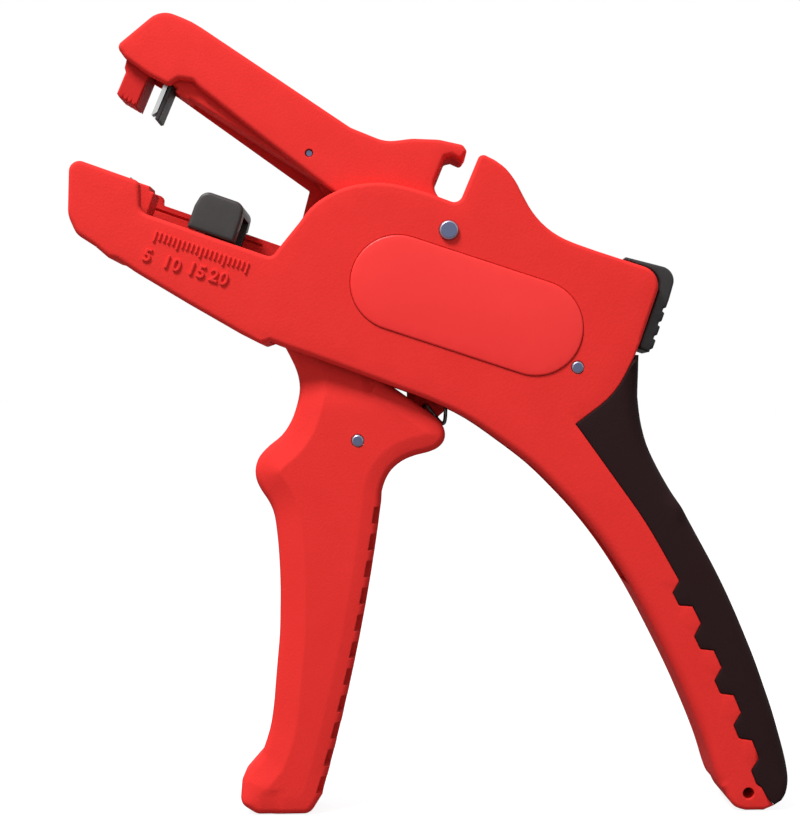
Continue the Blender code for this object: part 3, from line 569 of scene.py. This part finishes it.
def bodyOutline(farSide):
    nose = [(-72.1, 137.6, 2.2)]
    if farSide:
        window = [low(-13.4, 5.7) + (1.0,), low(-12.9, 4.0) + (0.6,), low(14.3, 4.0) + (1.5,)]
    else:
        window = [low(-16.4, 5.95) + (1.6,), low(-14.2, 0) + (2.2,), low(14.6, 0) + (1.5,)]
    dome = curved([(-24.6, 123.2), (-22.4, 126.0), (-19.4, 128.3), (-15.0, 130.3), (-10.5, 131.1),
                   (-6.0, 131.0), (-1.5, 130.0), (2.6, 128.7)])
    flank = curved([(16.0, 135.5), (18.3, 133.7), (20.3, 131.0), (21.8, 128.0), (23.7, 124.6), (26.5, 121.4),
                    (30.4, 118.8), (36.5, 116.4)])
    hub = [low(15.4, 2.5) + (3,)] + dome + [(8.5, 126.4, 1.8), (13.1, 137.0, 1.2)] + flank
    hub += [(50.7, 111.5, 4.2), (45.7, 97.6, 2)]
    tip = [(69.5, 0)] + curved([(65.8, 0), (63.9, 0.6), (62.6, 1.9), (61.7, 3.7)]) + [(61.1, 4.5)]
    inner = curved([(60.8, 4.7), (60.3, 5.7), (59.7, 7.5), (58.4, 12), (56.6, 17), (54.6, 22), (52.5, 27),
                    (50.2, 32), (47.8, 37), (45.3, 42), (42.6, 47), (39.6, 52), (36.2, 57), (32.3, 62),
                    (27.8, 67), (22.8, 72), (16.8, 76.8), (9.7, 81.9), (2.5, 85.6), (-5.8, 88.9),
                    (-11.9, 91.3), (-20.2, 94.5), (-28.0, 97.4)])
    under = [(-31.2, 98.7, 0.4), (-33.0, 98.1, 0.8), (-37.0, 100.2, 20), (-47.9, 106.7, 60),
             (-58.4, 113.2, 20), (-62.4, 116.0, 0.4), (-64.3, 116.5, 0.5), (-67.0, 118.9, 1.5),
             (-70.9, 121.5, 4), (-72.57, 125.4, 6)]
    return rounded(nose + window + hub + gripEdge() + tip + inner + under)


def nearSeam(ring, reach):  # which points of an outline lie on the seam between body and grip
    return gaps(ring, np.array(rounded(gripEdge())))[0] < reach


def bodyRims(out, ring):  # fuller where the edge looks down, most on the handle, and crisp beside the grip
    share = np.clip((-out[:, 1] - 0.15) / 0.2, 0, 1) * (out[:, 0] < 0.2)
    tip = np.interp(ring[:, 1], (3.0, 6.0), (0.4, 1.0))
    full = np.interp(ring[:, 0], (5.0, 50.0), bodySpec["underRim"]) * tip
    plain = bodySpec["rim"] + (full - bodySpec["rim"]) * share
    return np.where(nearSeam(ring, bodySpec["seamReach"]), bodySpec["seamRim"], plain)


# slightly domed pads, each in a shallow recess of its shell

padSpec = {"front": (-4.4, 110.3), "rear": (23.9, 100.5), "radius": 9.9, "seam": 0.08, "proud": 0.6,
           "thick": 0.9, "rim": 0.35, "dome": 0.28}


def padOutline(extra=0.0, steps=30):
    front = Vector(padSpec["front"])
    rear = Vector(padSpec["rear"])
    heading = math.degrees(math.atan2((rear - front).y, (rear - front).x))
    radius = padSpec["radius"] + extra
    spots = []
    for end, first in ((rear, heading - 90), (front, heading + 90)):
        spots += [tuple(end + radius * turned(first + 180 * k / steps)) for k in range(steps + 1)]
    return spots


def bodyShell(side):
    farSide = side > 0
    outer = side * bodySpec["half"]
    inner = side * bodySpec["gap"]
    floor = side * bodyFloor
    past = -side * bodySpec["past"]
    rims = (0, bodyRims) if farSide else (bodyRims, 0)
    shell = moulded("housingRear" if farSide else "housingFront", bodyOutline(farSide), min(outer, inner),
                    max(outer, inner), *rims, grid=bodySpec["grid"])
    cavity = rounded([(-69.4, 142), (-69.4, 125.2), (-65.6, 121.6, 2), (-36.0, 102.6, 2), (-31.5, 101.2),
                      (-31.5, 94), (-5, 84), (12, 75), (30, 58), (40.5, 47.5), (44.5, 46.5), (49.0, 44.2, 1),
                      (47.0, 53.4), (29.3, 79.8, 2), (38.0, 87.5, 3), (42.4, 97.0, 2), (46.9, 108.6, 2),
                      (23.5, 117.6, 12), (17.0, 131.0, 3), (13.9, 132.5), (11.2, 126.8, 2), (10.5, 134),
                      (-28, 142)])
    pocket = rounded([(49.6, 41.0, 1), (53.8, 37.2, 1), (62.6, 15.0, 1), (60.4, 13.4, 1), (52.6, 33.6, 20)])
    shape(shell, "DIFFERENCE", [block(cavity, floor, past), block(pocket, floor, past)])
    wallIn = side * (bodyFloor + bodySpec["overlap"])
    rail = oblong(low, (-17.5, -4.3), (14.5, -6.2))
    boss = circle(framePin, bodySpec["bossRadius"])
    shape(shell, "UNION", [block(boss, wallIn, side * bodySpec["bossEnd"]),
                           block(rail, wallIn, side * bodySpec["railEnd"])])
    recess = side * (bodySpec["half"] + padSpec["proud"] - padSpec["thick"] - bodySpec["clear"])
    slot = oblong(back, (2.6, 1.5), (12.19, -4.5))
    tools = [bore(pivot, boreSpec["pivotTight"]), bore(framePin, boreSpec["pin"]),
             bore(bodySpec["lanyardAt"], bodySpec["lanyardRadius"]),
             block(padOutline(padSpec["seam"]), recess, side * 12),
             slab(slot, bodySpec["slotHalf"])]
    if farSide:
        groove = oblong(low, (-14.4, 2.4), (10.2, 2.9))
        tools.append(block(groove, bodyFloor - 1, bodyFloor + 0.6))
    shape(shell, "DIFFERENCE", tools)
    return shell


for side, node in ((-1, "front_shell"), (1, "rear_shell")):
    dress(bodyShell(side), redNylon, "frame", "red_nylon", node)
print("body: two shells")


def padDome(x, z, gap):  # how far the face lies below the top of the pad, most at the rim
    return padSpec["dome"] * (1 - np.clip(gap / padSpec["radius"], 0, 1)) ** 2


def makePad(side):
    top = side * (bodySpec["half"] + padSpec["proud"])
    under = top - side * padSpec["thick"]
    rims = (0, padSpec["rim"]) if side > 0 else (padSpec["rim"], 0)
    pad = moulded("padRear" if side > 0 else "padFront", padOutline(), min(top, under), max(top, under),
                  *rims, grid=1.6, relief=padDome)
    shape(pad, "DIFFERENCE", [bore(pivot, boreSpec["pivotTight"])])
    return pad


for side, node in ((-1, "front_pad"), (1, "rear_pad")):
    dress(makePad(side), padNylon, "frame", "red_nylon", node)
print("pads: one on each side")


# raised length scale on the front of the lower jaw

scaleSpec = {"first": -9.5, "pitch": 1.003, "count": 21, "longEvery": 5, "top": -2.6, "long": 2.4,
             "short": 1.8, "width": 0.42, "corner": 0.12, "rim": 0.1, "proud": 0.34, "sink": 0.3,
             "digitSize": 3.7, "bold": 0.06, "spacing": 1.1, "digitRim": 0.04,
             "digits": (("5", -56.1, 116.7), ("10", -51.1, 114.9), ("15", -46.0, 113.4),
                        ("20", -41.4, 111.9))}


def makeTicks():
    ticks = []
    half = scaleSpec["width"] / 2
    top = scaleSpec["top"]
    face = -bodySpec["half"]
    for i in range(scaleSpec["count"]):
        s = scaleSpec["first"] + scaleSpec["pitch"] * i
        end = top - (scaleSpec["short"] if i % scaleSpec["longEvery"] else scaleSpec["long"])
        bar = [low(s - half, top), low(s - half, end), low(s + half, end), low(s + half, top)]
        bar = rounded([spot + (scaleSpec["corner"],) for spot in bar])
        ticks.append(moulded("tick", bar, face - scaleSpec["proud"], face + scaleSpec["sink"],
                             scaleSpec["rim"], 0, grid=0.8))
    return together("scaleTicks", ticks)


def makeDigits():
    made = []
    lift = -(bodySpec["half"] + (scaleSpec["proud"] - scaleSpec["sink"]) / 2) * mm
    lean = Matrix.Rotation(math.radians(-ledgeAngle), 4, "Y")
    upright = Matrix.Rotation(math.radians(90), 4, "X")
    for text, x, z in scaleSpec["digits"]:
        letters = bpy.data.curves.new("digits", "FONT")
        letters.body = text
        letters.size = scaleSpec["digitSize"] * mm
        letters.offset = scaleSpec["bold"] * mm
        letters.space_character = scaleSpec["spacing"]
        letters.align_x = "CENTER"
        letters.align_y = "CENTER"
        letters.extrude = (scaleSpec["proud"] + scaleSpec["sink"]) / 2 * mm
        letters.bevel_depth = scaleSpec["digitRim"] * mm
        letters.bevel_resolution = 2
        item = place("digits", letters)
        mesh = finalMesh(item)
        mesh.transform(Matrix.Translation(((x - middle) * mm, lift, z * mm)) @ lean @ upright)
        bpy.data.objects.remove(item, do_unlink=True)
        made.append(place("digit", mesh))
    return together("scaleNumbers", made)


dress(makeTicks(), redNylon, "frame", "red_nylon")
dress(makeDigits(), redNylon, "frame", "red_nylon")
print("scale: ticks and numbers")


# soft grip on the back handle

gripSpec = {"half": 10.6, "backRim": 3.6, "frontRim": 0.25, "seamReach": 0.2, "clear": 0.05}


def gripRims(out, ring):  # broad along the back, less at the tip, and crisp at the seam
    broad = gripSpec["backRim"] * np.interp(ring[:, 1], (1.0, 9.0), (0.15, 1.0))
    return np.where(nearSeam(ring, gripSpec["seamReach"]), gripSpec["frontRim"], broad)


def makeGrip():
    rear = curved([(73.3, 1.9), (74.3, 3.3), (74.9, 5.4), (75.0, 7.6), (74.5, 11.0), (73.3, 15.9),
                   (72.0, 20.7), (70.4, 25.7), (68.7, 30.8), (66.8, 35.8), (64.8, 40.8), (62.6, 45.9),
                   (60.2, 50.9), (57.6, 55.9), (54.9, 61.0), (51.9, 66.0), (49.1, 71.1), (46.9, 76.1),
                   (45.7, 81.1), (45.2, 86.0)])
    edge = ringOf(rounded(gripEdge() + rear + [(45.4, 94.7)]), undivided)  # then moved in by the clearance
    step = np.roll(edge, -1, 0) - edge
    step /= np.linalg.norm(step, axis=1)[:, None]
    into = np.stack([-step[:, 1], step[:, 0]], 1)
    both = into + np.roll(into, 1, 0)
    both /= np.linalg.norm(both, axis=1)[:, None]
    edge = edge + both * (gripSpec["clear"] / np.clip((both * into).sum(1), 0.5, 1))[:, None]
    return moulded("gripCover", edge, -gripSpec["half"], gripSpec["half"], gripRims, gripRims, grid=2.2)


dress(makeGrip(), gripRubber, "frame", "soft_black", "handle_grip")
print("grip: soft cover")


# upper jaw

jawSpec = {"half": 7.6, "inside": 5.4, "rim": 0.9, "underRim": 1.0, "grid": 2.6, "hubRadius": 5.8,
           "pockets": (-56.0, -44.0, -32.0), "pocketLong": 10, "pocketTall": 6.4}


def jawOutline(near):
    top = [(-62.4, 160.9, 1.4), (-53.0, 168.45, 5), (-46.5, 165.8, 20), (-13.8, 143.1, 6),
           (-6.5, 140.0, 8), (-1.0, 140.6, 8), (4.6, 140.3, 6)]
    hook = [(9.6, 139.1, 1.2), (10.5, 137.7, 0.8), (9.3, 135.9, 0.8), (7.2, 136.9, 0.5),
            (5.8, 136.6, 0.8), (3.0, 130.0, 4), (5.6, 126.9)]
    hub = [tuple(pivot + jawSpec["hubRadius"] * turned(angle)) for angle in range(60, -91, -10)]
    if near:  # the near wall stops higher, with an arch over the blades
        under = [(-6.2, 120.6, 3), (-33.0, 141.8, 20), (-45.2, 151.8, 1.4), (-46.5, 153.3, 1.4),
                 (-49.5, 153.8, 1.4), (-51.6, 152.4, 1.2)]
    else:  # the far wall has an ear that drops behind the hub
        under = [(-10.0, 116.6, 6), (-25.6, 122.4, 1.5), (-23.1, 131.4, 0.5), (-51.4, 152.3, 1.0)]
    nose = [(-53.0, 153.2, 1), (-55.9, 154.8, 6), (-60.7, 158.4, 2.5)]
    return rounded(top + hook + hub + under + nose)


def jawRims(out, ring):  # fuller along the lower edge
    share = np.clip((-out[:, 1] - 0.2) / 0.3, 0, 1)
    return jawSpec["rim"] + (jawSpec["underRim"] - jawSpec["rim"]) * share


def makeJaw():
    half, inner = jawSpec["half"], jawSpec["inside"]
    plate = moulded("plate", jawOutline(True), -half, -inner, jawRims, 0, grid=jawSpec["grid"])
    beam = moulded("beam", jawOutline(False), -inner, half, 0, jawSpec["rim"], grid=jawSpec["grid"])
    channel = [high(-71.2, 3.4), high(-60.5, 3.4), high(-60.5, 1.0), high(-10.5, 1.0), (14.0, 127.3),
               (14.0, 110.0), high(-8, -25), high(-77, -25), high(-77.6, 0.0), high(-71.2, 0.4)]
    tools = [block(channel, -inner - 1, inner)]
    for start in jawSpec["pockets"]:
        end = start + jawSpec["pocketLong"]
        tall = jawSpec["pocketTall"]
        pocket = [high(start, 0), high(start, tall), high(end, tall), high(end, 0)]
        tools.append(block(pocket, -inner - 1, inner))
    shape(beam, "DIFFERENCE", tools)
    for part in (plate, beam):
        shape(part, "DIFFERENCE", [bore(pivot, boreSpec["pivotLoose"]), bore(rollPin, boreSpec["rollPin"])])
    return together("jawUpper", [plate, beam])


dress(makeJaw(), redNylon, "jaw", "red_nylon", "upper_jaw")
print("jaw: upper half")


# squeezed lever: flat sides with a broad sloping band down each edge

leverSpec = {"half": 7.7, "rim": 1.4, "frontBand": 5.4, "frontDrop": 2.0, "backBand": 3.8, "backDrop": 0.6,
             "neckDrop": 1.4, "neckFrom": 84.0, "neckLong": 12.0, "notches": 11, "notchPitch": 5.6,
             "notchTop": 64.0, "notchTall": 3.8, "notchDepth": 1.3, "combHalf": 1.8, "pockets": 5,
             "pocketFrom": 10.0, "pocketRib": 1.8, "pocket": 5.2, "web": 0.9, "cheek": (2.2, 5.0),
             "farWeb": (4.1, 5.1), "slotHalf": 4.6}


def leverEdge(z):  # x of the slightly bowed inner edge at a height
    return -22.0 + 0.2555 * (z - 3.7) - 0.0013 * (z - 3.7) * (z - 35.8)


def leverRelief(x, z, gap):  # how far the side falls away, in a band by each edge and at the neck
    # the bands meet 8.5 mm in front of the inner edge up to z = 66 and further back above that,
    # and fade out towards the top and partly towards the foot
    rear = x > leverEdge(np.minimum(z, 66.0)) - 8.5 + np.maximum(z - 66, 0) * 0.3
    band = np.where(rear, leverSpec["backBand"], leverSpec["frontBand"])
    drop = np.where(rear, leverSpec["backDrop"], leverSpec["frontDrop"])
    fade = np.clip((98.0 - z) / 6.0, 0, 1) * np.clip(z / 8.0, 0.3, 1)
    neck = np.clip((z - leverSpec["neckFrom"]) / leverSpec["neckLong"], 0, 1)
    return drop * fade * np.clip(1 - gap / band, 0, 1) + leverSpec["neckDrop"] * neck * neck * (3 - 2 * neck)


def leverOutline():
    foot = [(-24.5, 0, 2.5), (-35.6, 0, 2.5), (-39.1, 2.2, 2.5), (-38.7, 7.6, 3)]
    front = curved([(-34.6, 12.2), (-32.8, 17.4), (-31.9, 22.4), (-31.4, 27.4), (-30.9, 32.4),
                    (-30.4, 37.4), (-30.2, 42.4), (-30.1, 47.3), (-30.2, 52.4), (-30.5, 57.4),
                    (-31.1, 62.3), (-32.2, 65.2), (-33.8, 67.7), (-34.8, 70.0), (-34.9, 72.4),
                    (-34.0, 74.8), (-31.9, 77.0), (-29.3, 79.1), (-27.3, 82.0), (-26.0, 85.5),
                    (-25.4, 89.0), (-26.0, 92.5), (-27.6, 96.2), (-29.4, 99.6)])
    top = [(-25.0, 101.0), (-7.0, 98.0), (-7.2, 89.9, 2)]
    nub = curved([(2.2, 83.0), (4.0, 81.4), (4.9, 79.4), (4.7, 77.5), (3.4, 76.0), (1.3, 75.1), (-1.6, 74.4),
                  (-4.2, 73.3), (-6.4, 71.5), (-7.8, 69.2), (-8.6, 66.6)])
    edge = [(leverEdge(z), z) for z in (64.4, 57.0, 50.0, 43.0, 36.0, 28.0, 20.0, 12.0, 4.0)]
    return rounded(foot + front + top + nub + edge)


def springSlot():  # widens from the pin to the handle, for the spring's swing as the lever is squeezed
    along = framePin - springPin
    heading = math.degrees(math.atan2(along.y, along.x))
    first, last = turned(heading - 9), turned(heading)
    side = 4.8 * turned(heading + 90)
    return [tuple(springPin - 5 * last + side), tuple(springPin + 34 * last + side),
            tuple(springPin + 34 * first - 4.8 * turned(heading + 81)), tuple(springPin - 5 * last - side)]


def leverPockets():  # shallow hollows on both sides of a web along the inner edge
    tools = []
    pitch = 2 * leverSpec["notchPitch"]
    for i in range(leverSpec["pockets"]):
        z = leverSpec["pocketFrom"] + pitch * i
        top = z + pitch - leverSpec["pocketRib"]
        pocket = [(leverEdge(z) + 2, z), (leverEdge(top) + 2, top), (leverEdge(top) - 11.5, top),
                  (leverEdge(z) - 9.5, z)]
        tools += pair(pocket, leverSpec["web"], leverSpec["pocket"])
    return tools


def leverComb():  # the notches, cut from both sides as one long toothed shape
    comb = []
    depth = leverSpec["notchDepth"]
    for i in range(leverSpec["notches"]):
        z = leverSpec["notchTop"] - leverSpec["notchPitch"] * i
        foot = z - leverSpec["notchTall"]
        comb += [(leverEdge(z) + 1, z), (leverEdge(z) - depth, z - 0.2),
                 (leverEdge(foot) - depth, foot + 0.2), (leverEdge(foot) + 1, foot)]
    top = leverSpec["notchTop"]
    end = top - leverSpec["notchPitch"] * leverSpec["notches"]
    comb += [(leverEdge(end) + 4, end), (leverEdge(top) + 4, top)]
    return pair(comb, leverSpec["combHalf"], through)


def makeLever():
    half, rim = leverSpec["half"], leverSpec["rim"]
    bands = (leverSpec["backBand"], leverSpec["frontBand"])
    lines = [band + side for band in bands for side in (-0.3, 0, 0.3)]  # points along each band's crease
    lever = moulded("leverHandle", leverOutline(), -half, half, rim, rim, grid=1.8, relief=leverRelief,
                    lines=lines)
    cheek = rounded([(-23.5, 90.0), (-26.5, 98.5, 2), (-3.0, 122.0, 3), (2.0, 125.4, 5), (11.3, 126.0, 5),
                     (11.6, 116.5, 5), (3.0, 101.5, 8), (-3.0, 90.0)])
    web = rounded([(-2.9, 91.0), (-2.9, 84.0), (4.0, 80.6), (3.7, 82.4, 0.5), (5.6, 84.0, 1), (8.4, 91.0, 3),
                   (7.0, 110.0)])
    shape(lever, "UNION", pair(cheek, *leverSpec["cheek"]) + [block(web, *leverSpec["farWeb"])])
    tools = [slab(springSlot(), leverSpec["slotHalf"])] + leverPockets() + leverComb()
    tools += [bore(pivot, boreSpec["pivotLoose"]), bore(springPin, boreSpec["pin"]),
              bore(pullPin, boreSpec["pin"])]
    shape(lever, "DIFFERENCE", tools)
    return lever


dress(makeLever(), redNylon, "lever", "red_nylon", "trigger_lever")
print("lever: handle")


# length stop and thumb slide

stopSpec = {"left": -4.0, "right": 6.1, "foot": 0.3, "shoulder": 5.0, "tall": 8.6, "half": 10.5, "rim": 0.7,
            "recessHalf": 5.2, "hollowHalf": 6.3, "farFace": 7.8}


def makeStop():  # recessed in front for the wire, hollow below, and cut short over the higher far wall
    left, right = stopSpec["left"], stopSpec["right"]
    foot, shoulder, tall = stopSpec["foot"], stopSpec["shoulder"], stopSpec["tall"]
    body = rounded([low(left, foot), low(left, shoulder) + (1.0,), low(left + 0.8, tall) + (2.6,),
                    low(right - 0.3, tall) + (3.0,), low(right, shoulder) + (1.0,), low(right, foot)])
    rim = stopSpec["rim"]
    stop = moulded("stopSlide", body, -stopSpec["half"], stopSpec["half"], rim, rim, grid=1.4)
    recess = oblong(low, (left - 1, -1), (left + 3, 12))
    hollow = oblong(low, (left + 4.8, -1), (right + 1, 6.2))
    over = oblong(low, (left - 1, -1), (right + 1, 4.3))
    shape(stop, "DIFFERENCE", [slab(recess, stopSpec["recessHalf"]), slab(hollow, stopSpec["hollowHalf"]),
                               block(over, stopSpec["farFace"], 12)])
    return stop


thumbSpec = {"off": 0.35, "half": 6.0, "rim": 0.5, "lip": 8.6, "ridges": 4, "firstRidge": 10.4,
             "ridgePitch": 3.0, "ridgeRise": 3.1, "grooveDepth": 0.45, "stemHalf": 2.0}


def makeThumbSlide():  # hooks over the body's back corner, with ridges for the thumb
    off = thumbSpec["off"]
    top = (Vector((25.3, 120.4)) - backHigh).normalized()
    over = Vector((-top.y, top.x))
    over = over if over.y > 0 else -over
    out = Vector(back(0, 1)) - backLow
    start = backHigh + thumbSpec["lip"] * top
    outline = [tuple(start + off * over), tuple(start + 1.2 * over) + (0.4,),
               tuple(backHigh + 2.1 * over + 2.7 * out) + (3.6,)]
    for i in range(thumbSpec["ridges"]):
        s = thumbSpec["firstRidge"] - thumbSpec["ridgePitch"] * i
        rise = thumbSpec["ridgeRise"] + 0.1 * i
        floor = rise - thumbSpec["grooveDepth"]
        outline += [back(s, rise) + (0.25,), back(s - 1.8, rise) + (0.25,), back(s - 2.2, floor) + (0.15,),
                    back(s - 2.8, floor) + (0.15,)]
    bend = backHigh + off * over + off * out
    outline += [back(-1.4, 1.4) + (0.3,), back(-1.4, off), tuple(bend) + (3.4 + off,)]
    half, rim = thumbSpec["half"], thumbSpec["rim"]
    slide = moulded("thumbSlide", rounded(outline), -half, half, rim, rim, grid=1.4)
    stem = oblong(back, (3.2, 1.0), (8.8, -3.6))
    shape(slide, "UNION", [slab(stem, thumbSpec["stemHalf"])])
    return slide


dress(makeStop(), stopNylon, "stop", "dark_grey_nylon", "length_stop")
dress(makeThumbSlide(), blackNylon, "adjuster", "black_nylon", "depth_slider")
print("slides: length stop and thumb slide")


# pins with chamfered ends: node, body, centre, diameter, reach to each side and chamfer

pinSpec = {"pinPivot": ("pivot_pin", "frame", pivot, 4.0, 11.35, 0.35),
           "pinFrame": ("frame_pin", "frame", framePin, 2.6, 10.75, 0.3),
           "pinSpring": ("spring_pin", "lever", springPin, 2.6, 7.95, 0.3),
           "pinPull": ("pull_pin", "lever", pullPin, 2.6, 5.0, 0.3),
           "pinRoll": ("jaw_roll_pin", "jaw", rollPin, 1.6, 7.3, 0.2)}


def makePin(name, centre, diameter, reach, chamfer, steps=48):
    radius = diameter / 2
    rows = [(-reach, 0.0), (-reach, radius - chamfer * 1.3), (-reach, radius - chamfer * 1.1),
            (-reach + chamfer * 0.12, radius - chamfer * 0.85),
            (-reach + chamfer * 0.85, radius - chamfer * 0.12), (-reach + chamfer * 1.2, radius)]
    rows += [(-y, r) for y, r in rows[::-1]]
    verts, faces, starts = [], [], []
    for y, r in rows:
        starts.append(len(verts))
        for k in range(steps if r else 1):
            angle = 2 * math.pi * k / steps
            verts.append((centre[0] + r * math.cos(angle), y, centre[1] + r * math.sin(angle)))
    for row in range(len(rows) - 1):
        a, b = starts[row], starts[row + 1]
        for k in range(steps):
            n = (k + 1) % steps
            if not rows[row][1]:
                faces.append([a, b + k, b + n])
            elif not rows[row + 1][1]:
                faces.append([a + k, a + n, b])
            else:
                faces.append([a + k, a + n, b + n, b + k])
    return newPiece(name, verts, faces)


for name, (node, body, centre, diameter, reach, chamfer) in pinSpec.items():
    dress(makePin(name, centre, diameter, reach, chamfer), pinSteel, body, "steel", node)


# springs

# the return spring is waisted, and narrows between the two shares of its length that taper gives;
# closed is the share of its length that is left when the lever is squeezed
springSpec = {"radius": 3.1, "waist": 1.9, "taper": (0.2, 0.42), "phase": -0.3, "wire": 0.42, "turns": 8,
              "turnSteps": 24, "begin": 4.6, "closed": 0.39}
closingSpec = {"radius": 3.5, "half": 1.6, "wire": 0.4, "firstAngle": 20, "steps": 76, "stepAngle": 12,
               "jawLeg": (-2.6, 5.3), "leverLeg": (-2.4, -4.2)}


def makeReturnSpring():
    along = (framePin - springPin).normalized()
    side = Vector((-along.y, along.x))
    length = (framePin - springPin).length - 2 * springSpec["begin"]
    full, waist = springSpec["radius"], springSpec["waist"]
    path = []
    count = springSpec["turns"] * springSpec["turnSteps"]
    for k in range(count + 1):
        angle = 2 * math.pi * (springSpec["turns"] * k / count + springSpec["phase"])
        radius = full + (waist - full) * np.interp(min(k, count - k) / count, springSpec["taper"], (0, 1))
        spot = springPin + along * (springSpec["begin"] + length * k / count)
        spot = spot + side * radius * math.cos(angle)
        path.append(Vector((spot.x, radius * math.sin(angle), spot.y)))
    return wire("springReturn", path, springSpec["wire"])


def makeClosingSpring():
    half, radius = closingSpec["half"], closingSpec["radius"]
    jawLeg, leverLeg = closingSpec["jawLeg"], closingSpec["leverLeg"]
    path = [Vector((pivot.x + jawLeg[0], -half, pivot.y + jawLeg[1]))]
    for k in range(closingSpec["steps"]):
        angle = math.radians(closingSpec["firstAngle"] + closingSpec["stepAngle"] * k)
        y = -half + 2 * half * k / (closingSpec["steps"] - 1)
        path.append(Vector((pivot.x + radius * math.cos(angle), y, pivot.y + radius * math.sin(angle))))
    path.append(path[-1] + Vector((leverLeg[0], 0, leverLeg[1])))
    return wire("springClosing", path, closingSpec["wire"])


returnSpring = makeReturnSpring()
dress(returnSpring, springWire, "frame_seat", "spring_steel", "return_spring")
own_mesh(returnSpring)
dress(makeClosingSpring(), springWire, "lever", "spring_steel", "closing_spring")
print("pins and springs: made")


# solids whose shape is kept, given their finish and a soft edge

softEdge = {"width": 0.06, "segments": 2, "angle": 40}
# the upper clamp block gets the darker copy of the red, which is painted shade
kept = {"upper_clamp_block": shadedClampNylon, "upper_carriage": redNylon, "lower_clamp_insert": redNylon,
        # the lower blade gets the darkened steel, which is painted shade
        "lower_carriage": redNylon, "upper_blade": bladeSteel, "lower_blade": shadedBladeSteel,
        "upper_blade_backer": blackNylon, "lever_spring_seat": blackNylon, "frame_spring_seat": blackNylon}
for name, made in kept.items():
    item = nodes[name]
    item.data.materials.clear()
    item.data.materials.append(made)
    soft = item.modifiers.new("soft edge", "BEVEL")
    soft.width = softEdge["width"] * mm
    soft.segments = softEdge["segments"]
    soft.limit_method = "ANGLE"
    soft.angle_limit = math.radians(softEdge["angle"])
    soft.harden_normals = True
print("kept solids: dressed")


# studio: a pale floor, white surroundings and soft lamps; centreX and centreZ are in mm, roll in degrees,
# and other lengths in metres

stageSpec = {"floorSize": 4.0, "floorDrop": 0.0002, "floorColour": "#808080", "floorRough": 0.9,
             "floorGlow": 0.88, "white": "#FFFFFF", "around": 0.3, "above": 0.6,
             "key": 9.4, "keySize": 0.22, "keyFrom": (-0.30, -0.35, 0.80),
             "fill": 0.3, "fillAngle": 0.87, "fillFrom": (0.3, -1.5, 0.49), "aim": (0, 0, 0.09),
             "lens": 80.9, "away": 0.3905, "centreX": -4.4, "centreZ": 84.2, "roll": 0.92}


def makeStage():
    mesh = bpy.data.meshes.new("floor")
    size = stageSpec["floorSize"]
    corners = [(-size, -size, 0), (size, -size, 0), (size, size, 0), (-size, size, 0)]
    mesh.from_pydata(corners, [], [[0, 1, 2, 3]])
    floor = place("floor", mesh)
    floor.location.z = -stageSpec["floorDrop"]
    made, tree, shader = newMaterial("paleFloor", stageSpec["floorColour"], stageSpec["floorRough"])
    rays = add(tree, "ShaderNodeLightPath")
    glow = add(tree, "ShaderNodeMath", {"operation": "MULTIPLY", 1: stageSpec["floorGlow"]},
               {0: rays.outputs["Is Camera Ray"]})
    shader.inputs["Emission Color"].default_value = colour(stageSpec["white"])
    tree.links.new(glow.outputs[0], shader.inputs["Emission Strength"])
    mesh.materials.append(made)
    world = bpy.data.worlds.new("studio")
    bpy.context.scene.world = world
    world.use_nodes = True
    tree = world.node_tree
    tree.nodes.clear()
    rays = add(tree, "ShaderNodeLightPath")
    seen = add(tree, "ShaderNodeMath", {"operation": "MAXIMUM"},
               {0: rays.outputs["Is Camera Ray"], 1: rays.outputs["Is Glossy Ray"]})
    shown = add(tree, "ShaderNodeMath", {"operation": "MAXIMUM"},
                {0: seen.outputs[0], 1: rays.outputs["Is Transmission Ray"]})
    coord = add(tree, "ShaderNodeTexCoord")
    height = add(tree, "ShaderNodeSeparateXYZ", None, {0: coord.outputs["Generated"]})
    dome = add(tree, "ShaderNodeMapRange", {"To Min": stageSpec["around"], "To Max": stageSpec["above"]},
               {"Value": height.outputs["Z"]})
    level = add(tree, "ShaderNodeMix", {"data_type": "FLOAT", 3: 1.0},
                {0: shown.outputs[0], 2: dome.outputs["Result"]})
    sky = add(tree, "ShaderNodeBackground", {"Color": colour(stageSpec["white"])},
              {"Strength": level.outputs[0]})
    add(tree, "ShaderNodeOutputWorld", None, {"Surface": sky.outputs[0]})


def addLamp(name, kind, power, size, start):  # shines from start towards the middle of the tool
    lamp = bpy.data.lights.new(name, kind)
    lamp.energy = power
    if kind == "SUN":
        lamp.angle = size
    else:
        lamp.size = size
    item = place(name, lamp)
    item.location = start
    item.rotation_mode = "QUATERNION"
    item.rotation_quaternion = (Vector(stageSpec["aim"]) - Vector(start)).to_track_quat("-Z", "Y")


def makeCamera():
    camera = bpy.data.cameras.new("camera")
    camera.lens = stageSpec["lens"]
    camera.clip_start = 0.01
    camera.clip_end = 20
    item = place("camera", camera)
    item.location = ((stageSpec["centreX"] - middle) * mm, -stageSpec["away"], stageSpec["centreZ"] * mm)
    item.rotation_euler = (Matrix.Rotation(math.radians(stageSpec["roll"]), 4, "Y")
                           @ Matrix.Rotation(math.radians(90), 4, "X")).to_euler()
    bpy.context.scene.camera = item


makeStage()
addLamp("keyLamp", "AREA", stageSpec["key"], stageSpec["keySize"], stageSpec["keyFrom"])
addLamp("fillLamp", "SUN", stageSpec["fill"], stageSpec["fillAngle"], stageSpec["fillFrom"])
makeCamera()
bpy.context.scene.view_settings.view_transform = "Standard"
print("stage: floor, lamps and camera")
